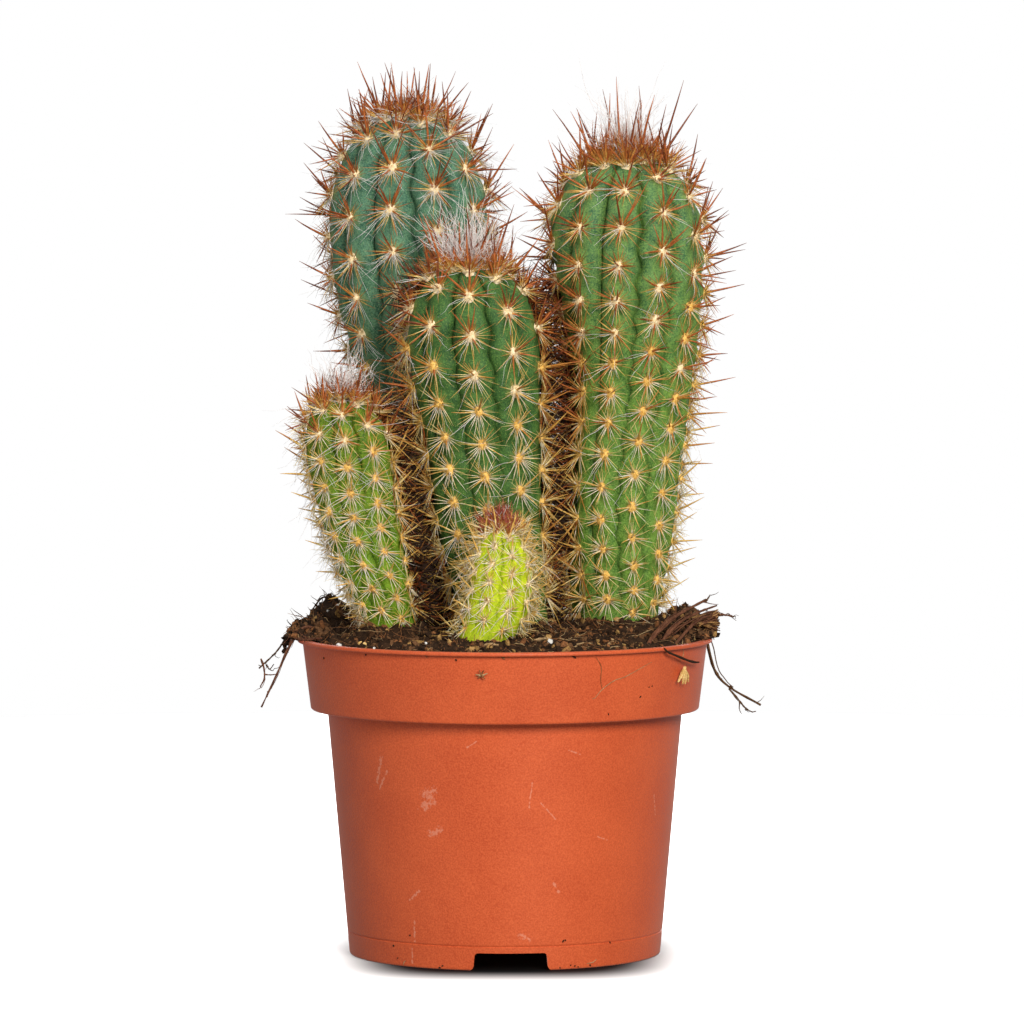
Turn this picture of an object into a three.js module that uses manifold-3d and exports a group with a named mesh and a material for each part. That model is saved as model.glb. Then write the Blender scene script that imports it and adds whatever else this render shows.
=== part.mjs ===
// A potted tall cactus: five ribbed, spiny stems in potting soil, in a plastic nursery pot.
// Millimetres, +Z up, front towards -Y. The origin is on the floor, on the pot's axis.
import * as THREE from 'three';
import { mergeVertices } from 'three/addons/utils/BufferGeometryUtils.js';
import Module from 'manifold-3d';

const wasm = await Module();
wasm.setup();

const GAP = 0.35; // between pieces that touch

const POT = {
  height: 80,
  lip: { radius: 52.5, height: 0.95, edge: 0.3 },
  collar: { topRadius: 51.2, bottomRadius: 49.1, bottom: 62, edge: 0.6 },
  body: { topRadius: 44.9, bottomRadius: 39.4, edge: 0.6 },
  wall: 1,
  floor: { bottom: 7, thickness: 1.4 },
  foot: { innerRadius: 36.9 },
  notch: { count: 3, turn: 2.2, width: 18, height: 4.4, edge: 1, flare: 1.9, flareHeight: 1.8 },
  drain: { holes: 5, radius: 4.5, circle: 25, sides: 8 },
  sides: 36,
};

const SOIL = {
  rim: 78.8, // height at the pot's wall
  crown: 5, // how much higher it is on the axis
  mounds: [
    { x: -44.5, y: 2, height: 8.5, width: 9.5 },
    { x: 46.5, y: 2, height: 6.5, width: 9 },
    { x: 6, y: 37, height: 2.5, width: 10 },
  ],
  bump: 0.55,
  slope: 1.6, // width of the slope at the wall
  spills: [ // soil that has slipped over the lip: middle and half width in degrees round the pot
    { turn: 177.5, half: 20, reach: 55.3 },
    { turn: 2.5, half: 17, reach: 53.6 },
  ],
  spill: { from: 45.8, root: 41, sections: 6, edge: 0.9, sunk: 1.1, overlap: 0.25 },
  margin: 1.5, // level ground round a stem
  ease: 5, // width of the slope beyond it
  rings: [14, 26, 36, 43, 48],
  sides: 32,
};

// Thick root fibres that stand out of the soil or hang over the lip: points from the soil out.
const ROOTS = [
  { radius: 0.75, points: [[33, -33, 77], [38.5, -27, 83.9], [42.7, -21, 86.8], [50.5, -11, 90.2]] },
  { radius: 0.65, points: [[36, -27, 77], [42.7, -20, 84.3], [48, -14, 87], [53.4, -6, 88.4]] },
  { radius: 0.6, points: [[41, -22, 78], [48, -11, 84.6], [53.6, -3, 85.8], [57.5, -1, 85.4]] },
  { radius: 0.55, points: [[41, 18, 80], [46.5, 20, 84], [51, 20.5, 80], [54, 17, 70.5], [64.5, 11, 61.8]] },
  {
    radius: 0.55,
    points: [[-42, -6, 80], [-49.5, -7, 83], [-53.6, -7.5, 79.5], [-58, -7.5, 70], [-61.4, -7.5, 62.8]],
  },
  { radius: 0.55, points: [[-42, 3, 82], [-50, 3, 84], [-54.6, 3, 80.6], [-58, 3, 76], [-62.4, 3, 71.8]] },
  { radius: 0.5, points: [[-40, 8, 84], [-43.4, 9, 88.6], [-46.4, 9, 89.4], [-49.2, 9, 86.1]] },
];
const ROOT = { sides: 4, step: 4.5, stretches: 8 }; // stretches: what spines keep clear of

// A station gives the stem's axis (x), the radius of its rib crests, how far its ribs have turned
// and the spacing of its areoles, all at one height. back is the axis's y at soil level and at the tip,
// and crowding the spacing of the areoles at the tip.
const STEMS = {
  stem_right: {
    ribs: 11, back: [-5, -2], soil: 85, foot: 76, domeFrom: 178, top: 200.8, bluntness: 2.5,
    groove: 0.17, notch: 0.8, pad: 0.8, crown: 3.4, crowding: 4.2, firstRow: 0.22, shift: 0.4,
    spines: { radial: 5.8, central: [8.5, 14.5], bristle: 19, around: 5 }, color: 0x4c8a3f, seed: 11,
    stations: [
      { z: 86, x: 27.5, radius: 11, turn: -9, pitch: 5.6 },
      { z: 97, x: 28.5, radius: 12.6, turn: -15, pitch: 6.4 },
      { z: 110, x: 29.6, radius: 13.7, turn: -24, pitch: 7.8 },
      { z: 125, x: 30.8, radius: 14.4, turn: -25, pitch: 8.3 },
      { z: 140, x: 32, radius: 15.2, turn: -22, pitch: 7.4 },
      { z: 155, x: 32.2, radius: 16.9, turn: -17, pitch: 7.7 },
      { z: 170, x: 31.4, radius: 18.9, turn: -10, pitch: 8.8 },
      { z: 182, x: 30.5, radius: 19.6, turn: -5, pitch: 9.8 },
      { z: 201, x: 30.6, radius: 19.6, turn: 0, pitch: 9.4 },
    ],
  },
  stem_centre: {
    ribs: 10, back: [-12, -13.5], soil: 84.2, foot: 76, domeFrom: 150, top: 174, bluntness: 2.6,
    groove: 0.17, notch: 0.8, pad: 0.8, crown: 3.2, crowding: 4.2, firstRow: 0.44, shift: 0.58,
    spines: { radial: 5.8, central: [8.5, 13.5], bristle: 14, around: 5 }, color: 0x2f6b45, seed: 23,
    stations: [
      { z: 86, x: -0.5, radius: 11.5, turn: 4, pitch: 7 },
      { z: 105, x: -3.3, radius: 13.4, turn: 0, pitch: 7.8 },
      { z: 118, x: -4.5, radius: 14.3, turn: 0, pitch: 8.3 },
      { z: 132, x: -5.6, radius: 15.3, turn: -1, pitch: 8.2 },
      { z: 145, x: -7, radius: 16.8, turn: -1, pitch: 9.2 },
      { z: 156, x: -7.8, radius: 17.4, turn: -2, pitch: 10.3 },
      { z: 174, x: -8.5, radius: 17.4, turn: -3, pitch: 10.3 },
    ],
  },
  stem_back_left: {
    ribs: 11, back: [22, 24.5], soil: 85, foot: 76, domeFrom: 180, top: 212.4, bluntness: 2.3,
    groove: 0.17, notch: 0.8, pad: 0.8, crown: 3.4, crowding: 4.2, firstRow: 0.74, shift: 0.48,
    spines: { radial: 6, central: [8.5, 14.5], bristle: 14.5, around: 4 }, color: 0x3a7361, seed: 37,
    stations: [
      { z: 86, x: -17.5, radius: 11.5, turn: -36, pitch: 7 },
      { z: 115, x: -18.3, radius: 13.8, turn: -32, pitch: 8 },
      { z: 138, x: -19.2, radius: 16.6, turn: -26, pitch: 8.2 },
      { z: 152, x: -20.5, radius: 19.4, turn: -19, pitch: 8.6 },
      { z: 168, x: -22.9, radius: 21.2, turn: -12, pitch: 9.8 },
      { z: 183, x: -24.5, radius: 21, turn: -12, pitch: 10.8 },
      { z: 213, x: -25, radius: 20.8, turn: -12, pitch: 10.2 },
    ],
  },
  stem_left_small: {
    ribs: 10, back: [-18, -18], soil: 84, foot: 77, domeFrom: 126, top: 141, bluntness: 2.5,
    groove: 0.15, notch: 0.5, pad: 0.65, crown: 2.2, crowding: 3.6, firstRow: 0.92, shift: 0.58,
    spines: { radial: 4.6, central: [6.5, 10], bristle: 10, around: 4 }, color: 0x5a9a3c, seed: 41,
    stations: [
      { z: 84, x: -28.5, radius: 6.2, turn: -5, pitch: 5.4 },
      { z: 90, x: -30.2, radius: 7.6, turn: -8, pitch: 5.6 },
      { z: 98, x: -32.6, radius: 9.2, turn: -12, pitch: 5.9 },
      { z: 108, x: -35, radius: 10.2, turn: -11, pitch: 6 },
      { z: 118, x: -37.2, radius: 10.8, turn: -6, pitch: 6.3 },
      { z: 128, x: -39, radius: 11.2, turn: -2, pitch: 6.7 },
      { z: 141, x: -40.8, radius: 11.2, turn: -1, pitch: 6.7 },
    ],
  },
  stem_front_tiny: {
    ribs: 9, back: [-34.5, -34.5], soil: 81.6, foot: 75, domeFrom: 95, top: 110, bluntness: 2.2,
    groove: 0.13, notch: 0.35, pad: 0.6, crown: 1.9, crowding: 2.6, firstRow: 0.9, shift: 0.44,
    spines: { radial: 4.6, central: [6, 8], bristle: 6.5, around: 4 }, color: 0xa9c93a, seed: 53,
    stations: [
      { z: 80, x: -6, radius: 6.6, turn: -14, pitch: 4.6 },
      { z: 86, x: -3, radius: 7.6, turn: -18, pitch: 4.8 },
      { z: 93, x: -1.3, radius: 7.9, turn: -21, pitch: 4.6 },
      { z: 100, x: -0.7, radius: 7.6, turn: -20, pitch: 4.5 },
      { z: 110, x: -1.2, radius: 7.5, turn: -12, pitch: 4.6 },
    ],
  },
};

const SKIN = {
  spread: 0.34, // how fast the areoles draw apart below the tip
  domeSteps: 30,
  grooveFade: { soil: 10, crown: 8 }, // lengths over which the grooves deepen
  foot: 0.96, // of the crest radius
  soilLine: 0.6, // the ribs end this far above the soil
};

// Corners of an areole's cushion on its left and right side, in degrees, and how proud it stands.
const AREOLE = {
  wide: { left: [144, 216], right: [36, -36] },
  plain: { left: [180], right: [0] },
  lift: { end: 0.2, side: 0.1, middle: 0.6 },
  toSoil: 2.2, // pads between the lowest areole and the soil
};

const SPINE = {
  lift: [24, 42], // degrees between a radial spine and the skin
  centralLift: 62,
  crownLean: [0.28, 0.53], // of the spines on the crown, in turn
  radialDraw: [0.8, 1.15],
  centralDraw: [0.8, 1],
  crownDraw: [0.7, 1],
  shortest: 2.2,
  tries: 14,
  stray: { first: 0.1, more: 0.03 }, // how far a try turns it
  shrink: 0.8, // after every round of tries
  apart: 0.8,
  checks: [0.15, 0.3, 0.45, 0.6, 0.75, 0.9, 1], // places along it that are tested
  leavesSkin: 0.45, // from here on it stands clear of its own stem
  clear: { stem: 1.3, own: 0.5, soil: 1, wall: 2, rim: 1, spill: 8 },
  reach: { x: 64, front: -53.5, back: 53.8, top: 227.4 },
};

// ---- numbers ----

function randomFrom(seed) {
  let state = seed;
  return () => {
    state = (state + 0x6d2b79f5) | 0;
    let mixed = Math.imul(state ^ (state >>> 15), 1 | state);
    mixed = (mixed + Math.imul(mixed ^ (mixed >>> 7), 61 | mixed)) ^ mixed;
    return ((mixed ^ (mixed >>> 14)) >>> 0) / 2 ** 32;
  };
}

const { clamp, degToRad, lerp, radToDeg, smoothstep } = THREE.MathUtils;

// A smooth curve through the stations' values of one key.
function along(stations, z, key) {
  const last = stations.length - 1;
  const at = clamp(stations.findIndex((s) => s.z > z) - 1, 0, last - 1);
  const i = z >= stations[last].z ? last - 1 : at;
  const [a, b] = [stations[i], stations[i + 1]];
  const before = stations[Math.max(i - 1, 0)];
  const after = stations[Math.min(i + 2, last)];
  const span = b.z - a.z;
  const t = clamp((z - a.z) / span, 0, 1);
  const rise = ((b[key] - before[key]) / (b.z - before.z)) * span;
  const fall = ((after[key] - a[key]) / (after.z - a.z)) * span;
  const cubic = 2 * a[key] - 2 * b[key] + rise + fall;
  const square = 3 * b[key] - 3 * a[key] - 2 * rise - fall;
  return a[key] + t * (rise + t * (square + t * cubic));
}

// The least distance between two straight spines.
function distanceBetween(first, second) {
  const u = first.tip.clone().sub(first.root);
  const v = second.tip.clone().sub(second.root);
  const w = first.root.clone().sub(second.root);
  const [uu, uv, vv, uw, vw] = [u.dot(u), u.dot(v), v.dot(v), u.dot(w), v.dot(w)];
  const flat = uu * vv - uv * uv;
  let s = flat > 1e-9 ? clamp((uv * vw - vv * uw) / flat, 0, 1) : 0;
  const t = clamp((uv * s + vw) / vv, 0, 1);
  s = clamp((uv * t - uw) / uu, 0, 1);
  return w.addScaledVector(u, s).addScaledVector(v, -t).length();
}

// ---- solids ----

function toSolid(geometry) {
  const bare = geometry.clone();
  bare.deleteAttribute('normal');
  bare.deleteAttribute('uv');
  const merged = mergeVertices(bare, 1e-4);
  const corners = Array.from(merged.index.array);
  const triVerts = [];
  for (let i = 0; i < corners.length; i += 3) {
    const [a, b, c] = corners.slice(i, i + 3);
    if (a !== b && b !== c && c !== a) triVerts.push(a, b, c);
  }
  return new wasm.Manifold(new wasm.Mesh({
    numProp: 3,
    vertProperties: new Float32Array(merged.attributes.position.array),
    triVerts: new Uint32Array(triVerts),
  }));
}

function toGeometry(solid) {
  const mesh = solid.getMesh();
  const geometry = new THREE.BufferGeometry();
  geometry.setAttribute('position', new THREE.BufferAttribute(mesh.vertProperties, 3));
  geometry.setIndex(new THREE.BufferAttribute(mesh.triVerts, 1));
  geometry.computeVertexNormals();
  return geometry;
}

function lathe(profile, sides) {
  const points = profile.map(([radius, z]) => new THREE.Vector2(radius, z));
  return new THREE.LatheGeometry(points, sides).rotateX(Math.PI / 2);
}

// ---- the pot ----

function potWallRadius(z) {
  const { body, collar, height } = POT;
  if (z < collar.bottom) return lerp(body.bottomRadius, body.topRadius, z / collar.bottom) - POT.wall;
  const rise = (z - collar.bottom) / (height - POT.lip.height - collar.bottom);
  return lerp(collar.bottomRadius, collar.topRadius, Math.min(rise, 1)) - POT.wall;
}

function potProfile() {
  const { lip, collar, body, wall, floor, foot, height } = POT;
  const shelf = collar.bottom + wall;
  const lipBottom = height - lip.height;
  const floorTop = floor.bottom + floor.thickness;
  return [
    [0, floor.bottom],
    [foot.innerRadius, floor.bottom],
    [foot.innerRadius, 0],
    [body.bottomRadius - body.edge, 0],
    [body.bottomRadius - body.edge * 0.3, body.edge * 0.3],
    [body.bottomRadius, body.edge],
    [body.topRadius, collar.bottom],
    [collar.bottomRadius - collar.edge, collar.bottom],
    [collar.bottomRadius - collar.edge * 0.3, collar.bottom + collar.edge * 0.3],
    [collar.bottomRadius, collar.bottom + collar.edge],
    [collar.topRadius, lipBottom],
    [lip.radius, lipBottom],
    [lip.radius, height - lip.edge],
    [lip.radius - lip.edge, height],
    [collar.topRadius - wall + lip.edge, height],
    [collar.topRadius - wall, height - lip.edge],
    [potWallRadius(shelf), shelf],
    [potWallRadius(collar.bottom - 0.01), shelf],
    [potWallRadius(floorTop + body.edge), floorTop + body.edge],
    [potWallRadius(floorTop) - body.edge, floorTop],
    [0, floorTop],
  ];
}

function footNotch() {
  const { width, height, edge, flare, flareHeight } = POT.notch;
  const half = width / 2;
  const side = [
    [half + flare * 1.5, -1],
    [half + flare, 0],
    [half + flare * 0.2, flareHeight],
    [half, height - edge],
    [half - edge, height],
  ];
  const otherSide = side.map(([x, y]) => [-x, y]).reverse();
  const outline = new THREE.Shape([...side, ...otherSide].map(([x, y]) => new THREE.Vector2(x, y)));
  const beyond = 4; // on both sides of the foot ring
  const depth = POT.body.bottomRadius - POT.foot.innerRadius + beyond * 2;
  const notch = new THREE.ExtrudeGeometry(outline, { depth, bevelEnabled: false });
  return notch.rotateX(Math.PI / 2).translate(0, beyond - POT.foot.innerRadius, 0);
}

function pot() {
  let solid = toSolid(lathe(potProfile(), POT.sides));
  for (let i = 0; i < POT.notch.count; i += 1) {
    const turn = (i / POT.notch.count) * 2 * Math.PI + degToRad(POT.notch.turn);
    solid = solid.subtract(toSolid(footNotch().rotateZ(turn)));
  }
  const { holes, radius, circle, sides } = POT.drain;
  const depth = POT.floor.thickness * 4;
  for (let i = 0; i < holes; i += 1) {
    const hole = new THREE.CylinderGeometry(radius, radius, depth, sides).rotateX(Math.PI / 2);
    hole.translate(circle, 0, POT.floor.bottom);
    solid = solid.subtract(toSolid(hole.rotateZ(((i + 0.5) / holes) * 2 * Math.PI)));
  }
  return toGeometry(solid);
}

// ---- a stem's form ----

function axisAt(stem, z) {
  const climb = clamp((z - stem.soil) / (stem.top - stem.soil), 0, 1);
  const level = Math.max(z, stem.soil);
  return { x: along(stem.stations, level, 'x'), y: lerp(stem.back[0], stem.back[1], climb) };
}

function crestRadius(stem, z) {
  const rise = clamp((z - stem.domeFrom) / (stem.top - stem.domeFrom), 0, 1);
  const dome = (1 - rise ** stem.bluntness) ** (1 / stem.bluntness);
  return along(stem.stations, z, 'radius') * dome;
}

function footRadius(stem) {
  return crestRadius(stem, stem.soil) * SKIN.foot;
}

// Heights down the stem, from its tip, each with its distance along a crest.
function profileOf(stem) {
  const heights = [];
  for (let i = 0; i <= SKIN.domeSteps; i += 1) {
    const angle = (1 - i / SKIN.domeSteps) * Math.PI / 2;
    const rise = Math.sin(angle) ** (2 / stem.bluntness);
    heights.push(lerp(stem.domeFrom, stem.top, rise));
  }
  for (let z = stem.domeFrom - 1; z > stem.soil; z -= 1) heights.push(z);
  let run = 0;
  return heights.map((z, i) => {
    if (i > 0) {
      const dz = z - heights[i - 1];
      const dr = crestRadius(stem, z) - crestRadius(stem, heights[i - 1]);
      run += Math.hypot(dz, dr);
    }
    return { z, run };
  });
}

function heightAt(profile, run) {
  const i = clamp(profile.findIndex((p) => p.run > run), 1, profile.length - 1);
  const [a, b] = [profile[i - 1], profile[i]];
  return lerp(a.z, b.z, clamp((run - a.run) / (b.run - a.run), 0, 1));
}

// Where the areoles of one rib sit, as distances from the tip along its crest.
function areoleRuns(stem, profile, rib) {
  const end = profile[profile.length - 1].run - stem.pad * AREOLE.toSoil;
  const start = stem.crown + stem.pad * 2;
  const shift = (rib * stem.shift + stem.firstRow) % 1;
  const runs = [];
  let row = 0;
  const step = 0.1;
  for (let run = start; run < end; run += step) {
    const pitch = along(stem.stations, heightAt(profile, run), 'pitch');
    const spacing = Math.min(pitch, stem.crowding + SKIN.spread * run);
    const next = row + step / spacing;
    if (Math.floor(next + shift) > Math.floor(row + shift)) runs.push(run);
    row = next;
  }
  return runs;
}

function crestPoint(stem, profile, turns, run, sunk = 0) {
  const z = heightAt(profile, run);
  const angle = turns * 2 * Math.PI + degToRad(along(stem.stations, z, 'turn'));
  const axis = axisAt(stem, z);
  const radius = crestRadius(stem, z) - sunk;
  return new THREE.Vector3(axis.x + radius * Math.sin(angle), axis.y - radius * Math.cos(angle), z);
}

// Right, up and out at a point of a crest.
function crestFrame(stem, profile, turns, run) {
  const here = crestPoint(stem, profile, turns, run);
  const up = crestPoint(stem, profile, turns, run - 1).sub(crestPoint(stem, profile, turns, run + 1));
  up.normalize();
  const axis = axisAt(stem, here.z);
  const right = new THREE.Vector3(-(here.y - axis.y), here.x - axis.x, 0).normalize();
  const out = right.clone().cross(up).normalize();
  return { here, right, up, out };
}

// ---- the soil ----

function soilTop(x, y) {
  const radius = Math.hypot(x, y);
  const wallRadius = potWallRadius(POT.height) - GAP;
  const inward = clamp(1 - (radius / wallRadius) ** 2, 0, 1);
  const edge = smoothstep(wallRadius - radius, 0, SOIL.slope);
  let z = SOIL.rim + SOIL.crown * inward ** 0.8;
  for (const mound of SOIL.mounds) {
    const off = Math.hypot(x - mound.x, y - mound.y) / mound.width;
    z += mound.height * Math.exp(-off * off) * edge;
  }
  z += SOIL.bump * edge * (Math.sin(x * 0.71 + y * 0.33) + Math.sin(y * 0.83 - x * 0.41));
  for (const stem of Object.values(STEMS)) {
    const axis = axisAt(stem, stem.soil);
    const off = Math.hypot(x - axis.x, y - axis.y) - footRadius(stem) - SOIL.margin;
    z = lerp(stem.soil, z, smoothstep(off, 0, SOIL.ease));
  }
  return z;
}

function soilBody() {
  const { collar, floor, body } = POT;
  const under = floor.bottom + floor.thickness + GAP;
  const step = collar.bottom - GAP * 2;
  const levels = [
    [potWallRadius(under) - body.edge - GAP, under],
    [potWallRadius(under + body.edge * 2) - GAP, under + body.edge * 2],
    [potWallRadius(step) - GAP, step],
    [potWallRadius(step) - GAP, collar.bottom + POT.wall + GAP],
    [potWallRadius(collar.bottom + POT.wall) - GAP, collar.bottom + POT.wall + GAP],
    [potWallRadius(POT.height) - GAP, SOIL.rim],
  ];
  const vertices = [new THREE.Vector3(0, 0, under)];
  for (const [radius, z] of levels) addRing(vertices, radius, () => z);
  for (const radius of [...SOIL.rings].reverse()) addRing(vertices, radius, soilTop);
  vertices.push(new THREE.Vector3(0, 0, soilTop(0, 0)));
  const faces = [];
  const rings = levels.length + SOIL.rings.length;
  const at = (ring, side) => 1 + ring * SOIL.sides + (side % SOIL.sides);
  for (let side = 0; side < SOIL.sides; side += 1) {
    faces.push([0, at(0, side + 1), at(0, side)]);
    for (let ring = 0; ring < rings - 1; ring += 1) {
      faces.push([at(ring, side), at(ring, side + 1), at(ring + 1, side + 1)]);
      faces.push([at(ring, side), at(ring + 1, side + 1), at(ring + 1, side)]);
    }
    faces.push([at(rings - 1, side), at(rings - 1, side + 1), vertices.length - 1]);
  }
  return meshGeometry(vertices, faces);
}

function addRing(vertices, radius, height) {
  for (let side = 0; side < SOIL.sides; side += 1) {
    const angle = (side / SOIL.sides) * 2 * Math.PI;
    const [x, y] = [radius * Math.cos(angle), radius * Math.sin(angle)];
    vertices.push(new THREE.Vector3(x, y, height(x, y)));
  }
}

// A wedge from the mound inside the pot to a thin edge that overhangs the lip.
function soilSpill({ turn, half, reach }) {
  const { from, root, sections, edge, sunk, overlap } = SOIL.spill;
  const inside = potWallRadius(POT.height) - GAP;
  const above = POT.height + GAP;
  const vertices = [];
  for (let i = 0; i < sections; i += 1) {
    const across = (i / (sections - 1)) * 2 - 1;
    const angle = degToRad(turn + half * across);
    const [ux, uy] = [Math.cos(angle), Math.sin(angle)];
    const end = lerp(inside + overlap, reach, Math.cos((across * Math.PI) / 2) ** 0.7);
    const high = Math.max(soilTop(from * ux, from * uy) - sunk, above + edge / 2);
    const outline = [
      [root, SOIL.rim - sunk],
      [inside - overlap, above],
      [end, above],
      [end - edge / 2, above + edge],
      [from, high],
    ];
    for (const [radius, z] of outline) vertices.push(new THREE.Vector3(radius * ux, radius * uy, z));
  }
  const corners = vertices.length / sections;
  const faces = [];
  for (let i = 0; i < sections - 1; i += 1) {
    for (let k = 0; k < corners; k += 1) {
      const [a, b] = [i * corners + k, i * corners + ((k + 1) % corners)];
      faces.push([a, b + corners, b], [a, a + corners, b + corners]);
    }
  }
  const last = vertices.length - corners;
  for (let k = 1; k < corners - 1; k += 1) faces.push([0, k, k + 1], [last, last + k + 1, last + k]);
  return meshGeometry(vertices, faces);
}

function overSpill(point) {
  const turn = radToDeg(Math.atan2(point.y, point.x));
  return SOIL.spills.some((spill) => Math.abs(((turn - spill.turn + 540) % 360) - 180) < spill.half);
}

function rootFibre({ radius, points }) {
  const curve = new THREE.CatmullRomCurve3(points.map((p) => new THREE.Vector3(...p)));
  const corners = Array.from({ length: ROOT.sides }, (_, i) => {
    const angle = (i / ROOT.sides) * 2 * Math.PI;
    return new THREE.Vector2(radius * Math.cos(angle), radius * Math.sin(angle));
  });
  const steps = Math.round(curve.getLength() / ROOT.step);
  const section = new THREE.Shape(corners);
  return new THREE.ExtrudeGeometry(section, { steps, bevelEnabled: false, extrudePath: curve });
}

function soil() {
  let solid = toSolid(soilBody());
  for (const spill of SOIL.spills) solid = solid.add(toSolid(soilSpill(spill)));
  for (const root of ROOTS) solid = solid.add(toSolid(rootFibre(root)));
  for (const stem of Object.values(STEMS)) {
    const sides = stem.ribs * 2;
    const bore = footRadius(stem) + GAP / Math.cos(Math.PI / sides);
    const depth = stem.top - stem.foot;
    const hole = new THREE.CylinderGeometry(bore, bore, depth, sides).rotateX(Math.PI / 2);
    hole.rotateZ(footTurn(stem) - Math.PI / 2);
    const axis = axisAt(stem, stem.soil);
    solid = solid.subtract(toSolid(hole.translate(axis.x, axis.y, stem.foot - GAP + depth / 2)));
  }
  return toGeometry(solid);
}

// ---- a stem's skin ----

function footTurn(stem) {
  return degToRad(along(stem.stations, stem.soil, 'turn'));
}

function meshGeometry(vertices, faces) {
  const geometry = new THREE.BufferGeometry();
  const position = new Float32Array(vertices.flatMap((v) => v.toArray()));
  geometry.setAttribute('position', new THREE.BufferAttribute(position, 3));
  geometry.setIndex(faces.flat());
  geometry.computeVertexNormals();
  return geometry;
}

const placedSpines = [];

function insideStem(stem, point, margin) {
  if (point.z > stem.top + margin) return false;
  const z = Math.min(point.z, stem.top - 0.01);
  const axis = axisAt(stem, z);
  return Math.hypot(point.x - axis.x, point.y - axis.y) < crestRadius(stem, z) + margin;
}

function standsClear(spine, owner) {
  const { clear, reach } = SPINE;
  for (const share of SPINE.checks) {
    const point = spine.root.clone().lerp(spine.tip, share);
    if (Math.abs(point.x) > reach.x || point.z > reach.top) return false;
    if (point.y < reach.front || point.y > reach.back) return false;
    for (const stem of Object.values(STEMS)) {
      if (stem !== owner && insideStem(stem, point, clear.stem)) return false;
      const left = share >= SPINE.leavesSkin;
      if (stem === owner && left && insideStem(stem, point, clear.own)) return false;
    }
    const radius = Math.hypot(point.x, point.y);
    if (point.z < soilTop(point.x, point.y) + clear.soil) return false;
    const overWall = radius > potWallRadius(POT.height) - clear.wall;
    const wallTop = POT.height + (overSpill(point) ? clear.spill : clear.rim);
    if (overWall && point.z < wallTop) return false;
  }
  for (const stretch of rootStretches) {
    if (distanceBetween(spine, stretch) < SPINE.apart + stretch.radius) return false;
  }
  return placedSpines.every((other) => {
    if (other.areole === spine.areole) return true;
    const near = spine.length + other.length + SPINE.apart;
    return spine.root.distanceTo(other.root) > near || distanceBetween(spine, other) > SPINE.apart;
  });
}

// The root fibres as straight stretches.
const rootStretches = ROOTS.flatMap(({ radius, points }) => {
  const curve = new THREE.CatmullRomCurve3(points.map((p) => new THREE.Vector3(...p)));
  const stops = curve.getPoints(ROOT.stretches);
  return stops.slice(1).map((tip, i) => ({ root: stops[i], tip, radius }));
});

// Turns and shortens a spine until it crosses nothing, and gives null where it can't.
function placeSpine(owner, areole, root, aim, length, random) {
  let reach = length;
  while (reach > SPINE.shortest) {
    for (let i = 0; i < SPINE.tries; i += 1) {
      const stray = SPINE.stray.first + SPINE.stray.more * i;
      const sway = () => (random() - 0.5) * 2 * stray;
      const direction = aim.clone().add(new THREE.Vector3(sway(), sway(), sway())).normalize();
      const tip = root.clone().addScaledVector(direction, reach);
      const spine = { root, tip, areole, length: reach };
      if (standsClear(spine, owner)) {
        placedSpines.push(spine);
        return tip;
      }
    }
    reach *= SPINE.shrink;
  }
  return null;
}

function raise(faces, vertices, [a, b, c], tip) {
  if (!tip) {
    faces.push([a, b, c]);
    return;
  }
  vertices.push(tip);
  const top = vertices.length - 1;
  faces.push([a, b, top], [b, c, top], [c, a, top]);
}

// One areole: a small cushion on the crest, whose faces rise into spines. Gives the corners of its
// left and right sides from top to bottom, each with its distance from the tip.
function addAreole(mesh, stem, profile, rib, run, flip, random) {
  const { vertices, faces } = mesh;
  const frame = crestFrame(stem, profile, rib / stem.ribs, run);
  const { pad, spines } = stem;
  const place = (degrees, lift) => {
    const angle = degToRad(degrees);
    const point = frame.here.clone().addScaledVector(frame.out, lift);
    point.addScaledVector(frame.right, pad * Math.cos(angle));
    vertices.push(point.addScaledVector(frame.up, pad * Math.sin(angle)));
    return { vertex: vertices.length - 1, run: run - pad * Math.sin(angle), degrees };
  };
  const wide = spines.around === 5;
  const rightSide = (wide && flip ? AREOLE.wide : AREOLE.plain).right;
  const leftSide = (wide && !flip ? AREOLE.wide : AREOLE.plain).left;
  const top = place(90, AREOLE.lift.end);
  const bottom = place(270, AREOLE.lift.end);
  const right = rightSide.map((degrees) => place(degrees, AREOLE.lift.side));
  const left = leftSide.map((degrees) => place(degrees, AREOLE.lift.side));
  vertices.push(frame.here.clone().addScaledVector(frame.out, AREOLE.lift.middle));
  const middle = vertices.length - 1;
  const ring = [top, ...left, bottom, ...[...right].reverse()];
  const height = clamp((frame.here.z - stem.soil) / (stem.top - stem.soil), 0, 1);
  ring.forEach((corner, i) => {
    const next = ring[(i + 1) % ring.length];
    const to = next.degrees < corner.degrees ? next.degrees + 360 : next.degrees;
    const angle = degToRad((corner.degrees + to) / 2);
    const central = i === (flip ? 0 : ring.length - 1);
    const lift = degToRad(central ? SPINE.centralLift : lerp(...SPINE.lift, random()));
    const aim = frame.out.clone().multiplyScalar(Math.sin(lift));
    aim.addScaledVector(frame.right, Math.cos(lift) * Math.cos(angle));
    aim.addScaledVector(frame.up, Math.cos(lift) * Math.sin(angle));
    const full = central ? lerp(...spines.central, height ** 2) : spines.radial;
    const length = full * lerp(...(central ? SPINE.centralDraw : SPINE.radialDraw), random());
    const root = new THREE.Vector3();
    for (const v of [middle, corner.vertex, next.vertex]) root.addScaledVector(vertices[v], 1 / 3);
    const tip = placeSpine(stem, top.vertex, root, aim, length, random);
    raise(faces, vertices, [middle, corner.vertex, next.vertex], tip);
  });
  return { left: [top, ...left, bottom], right: [top, ...right, bottom] };
}

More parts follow.
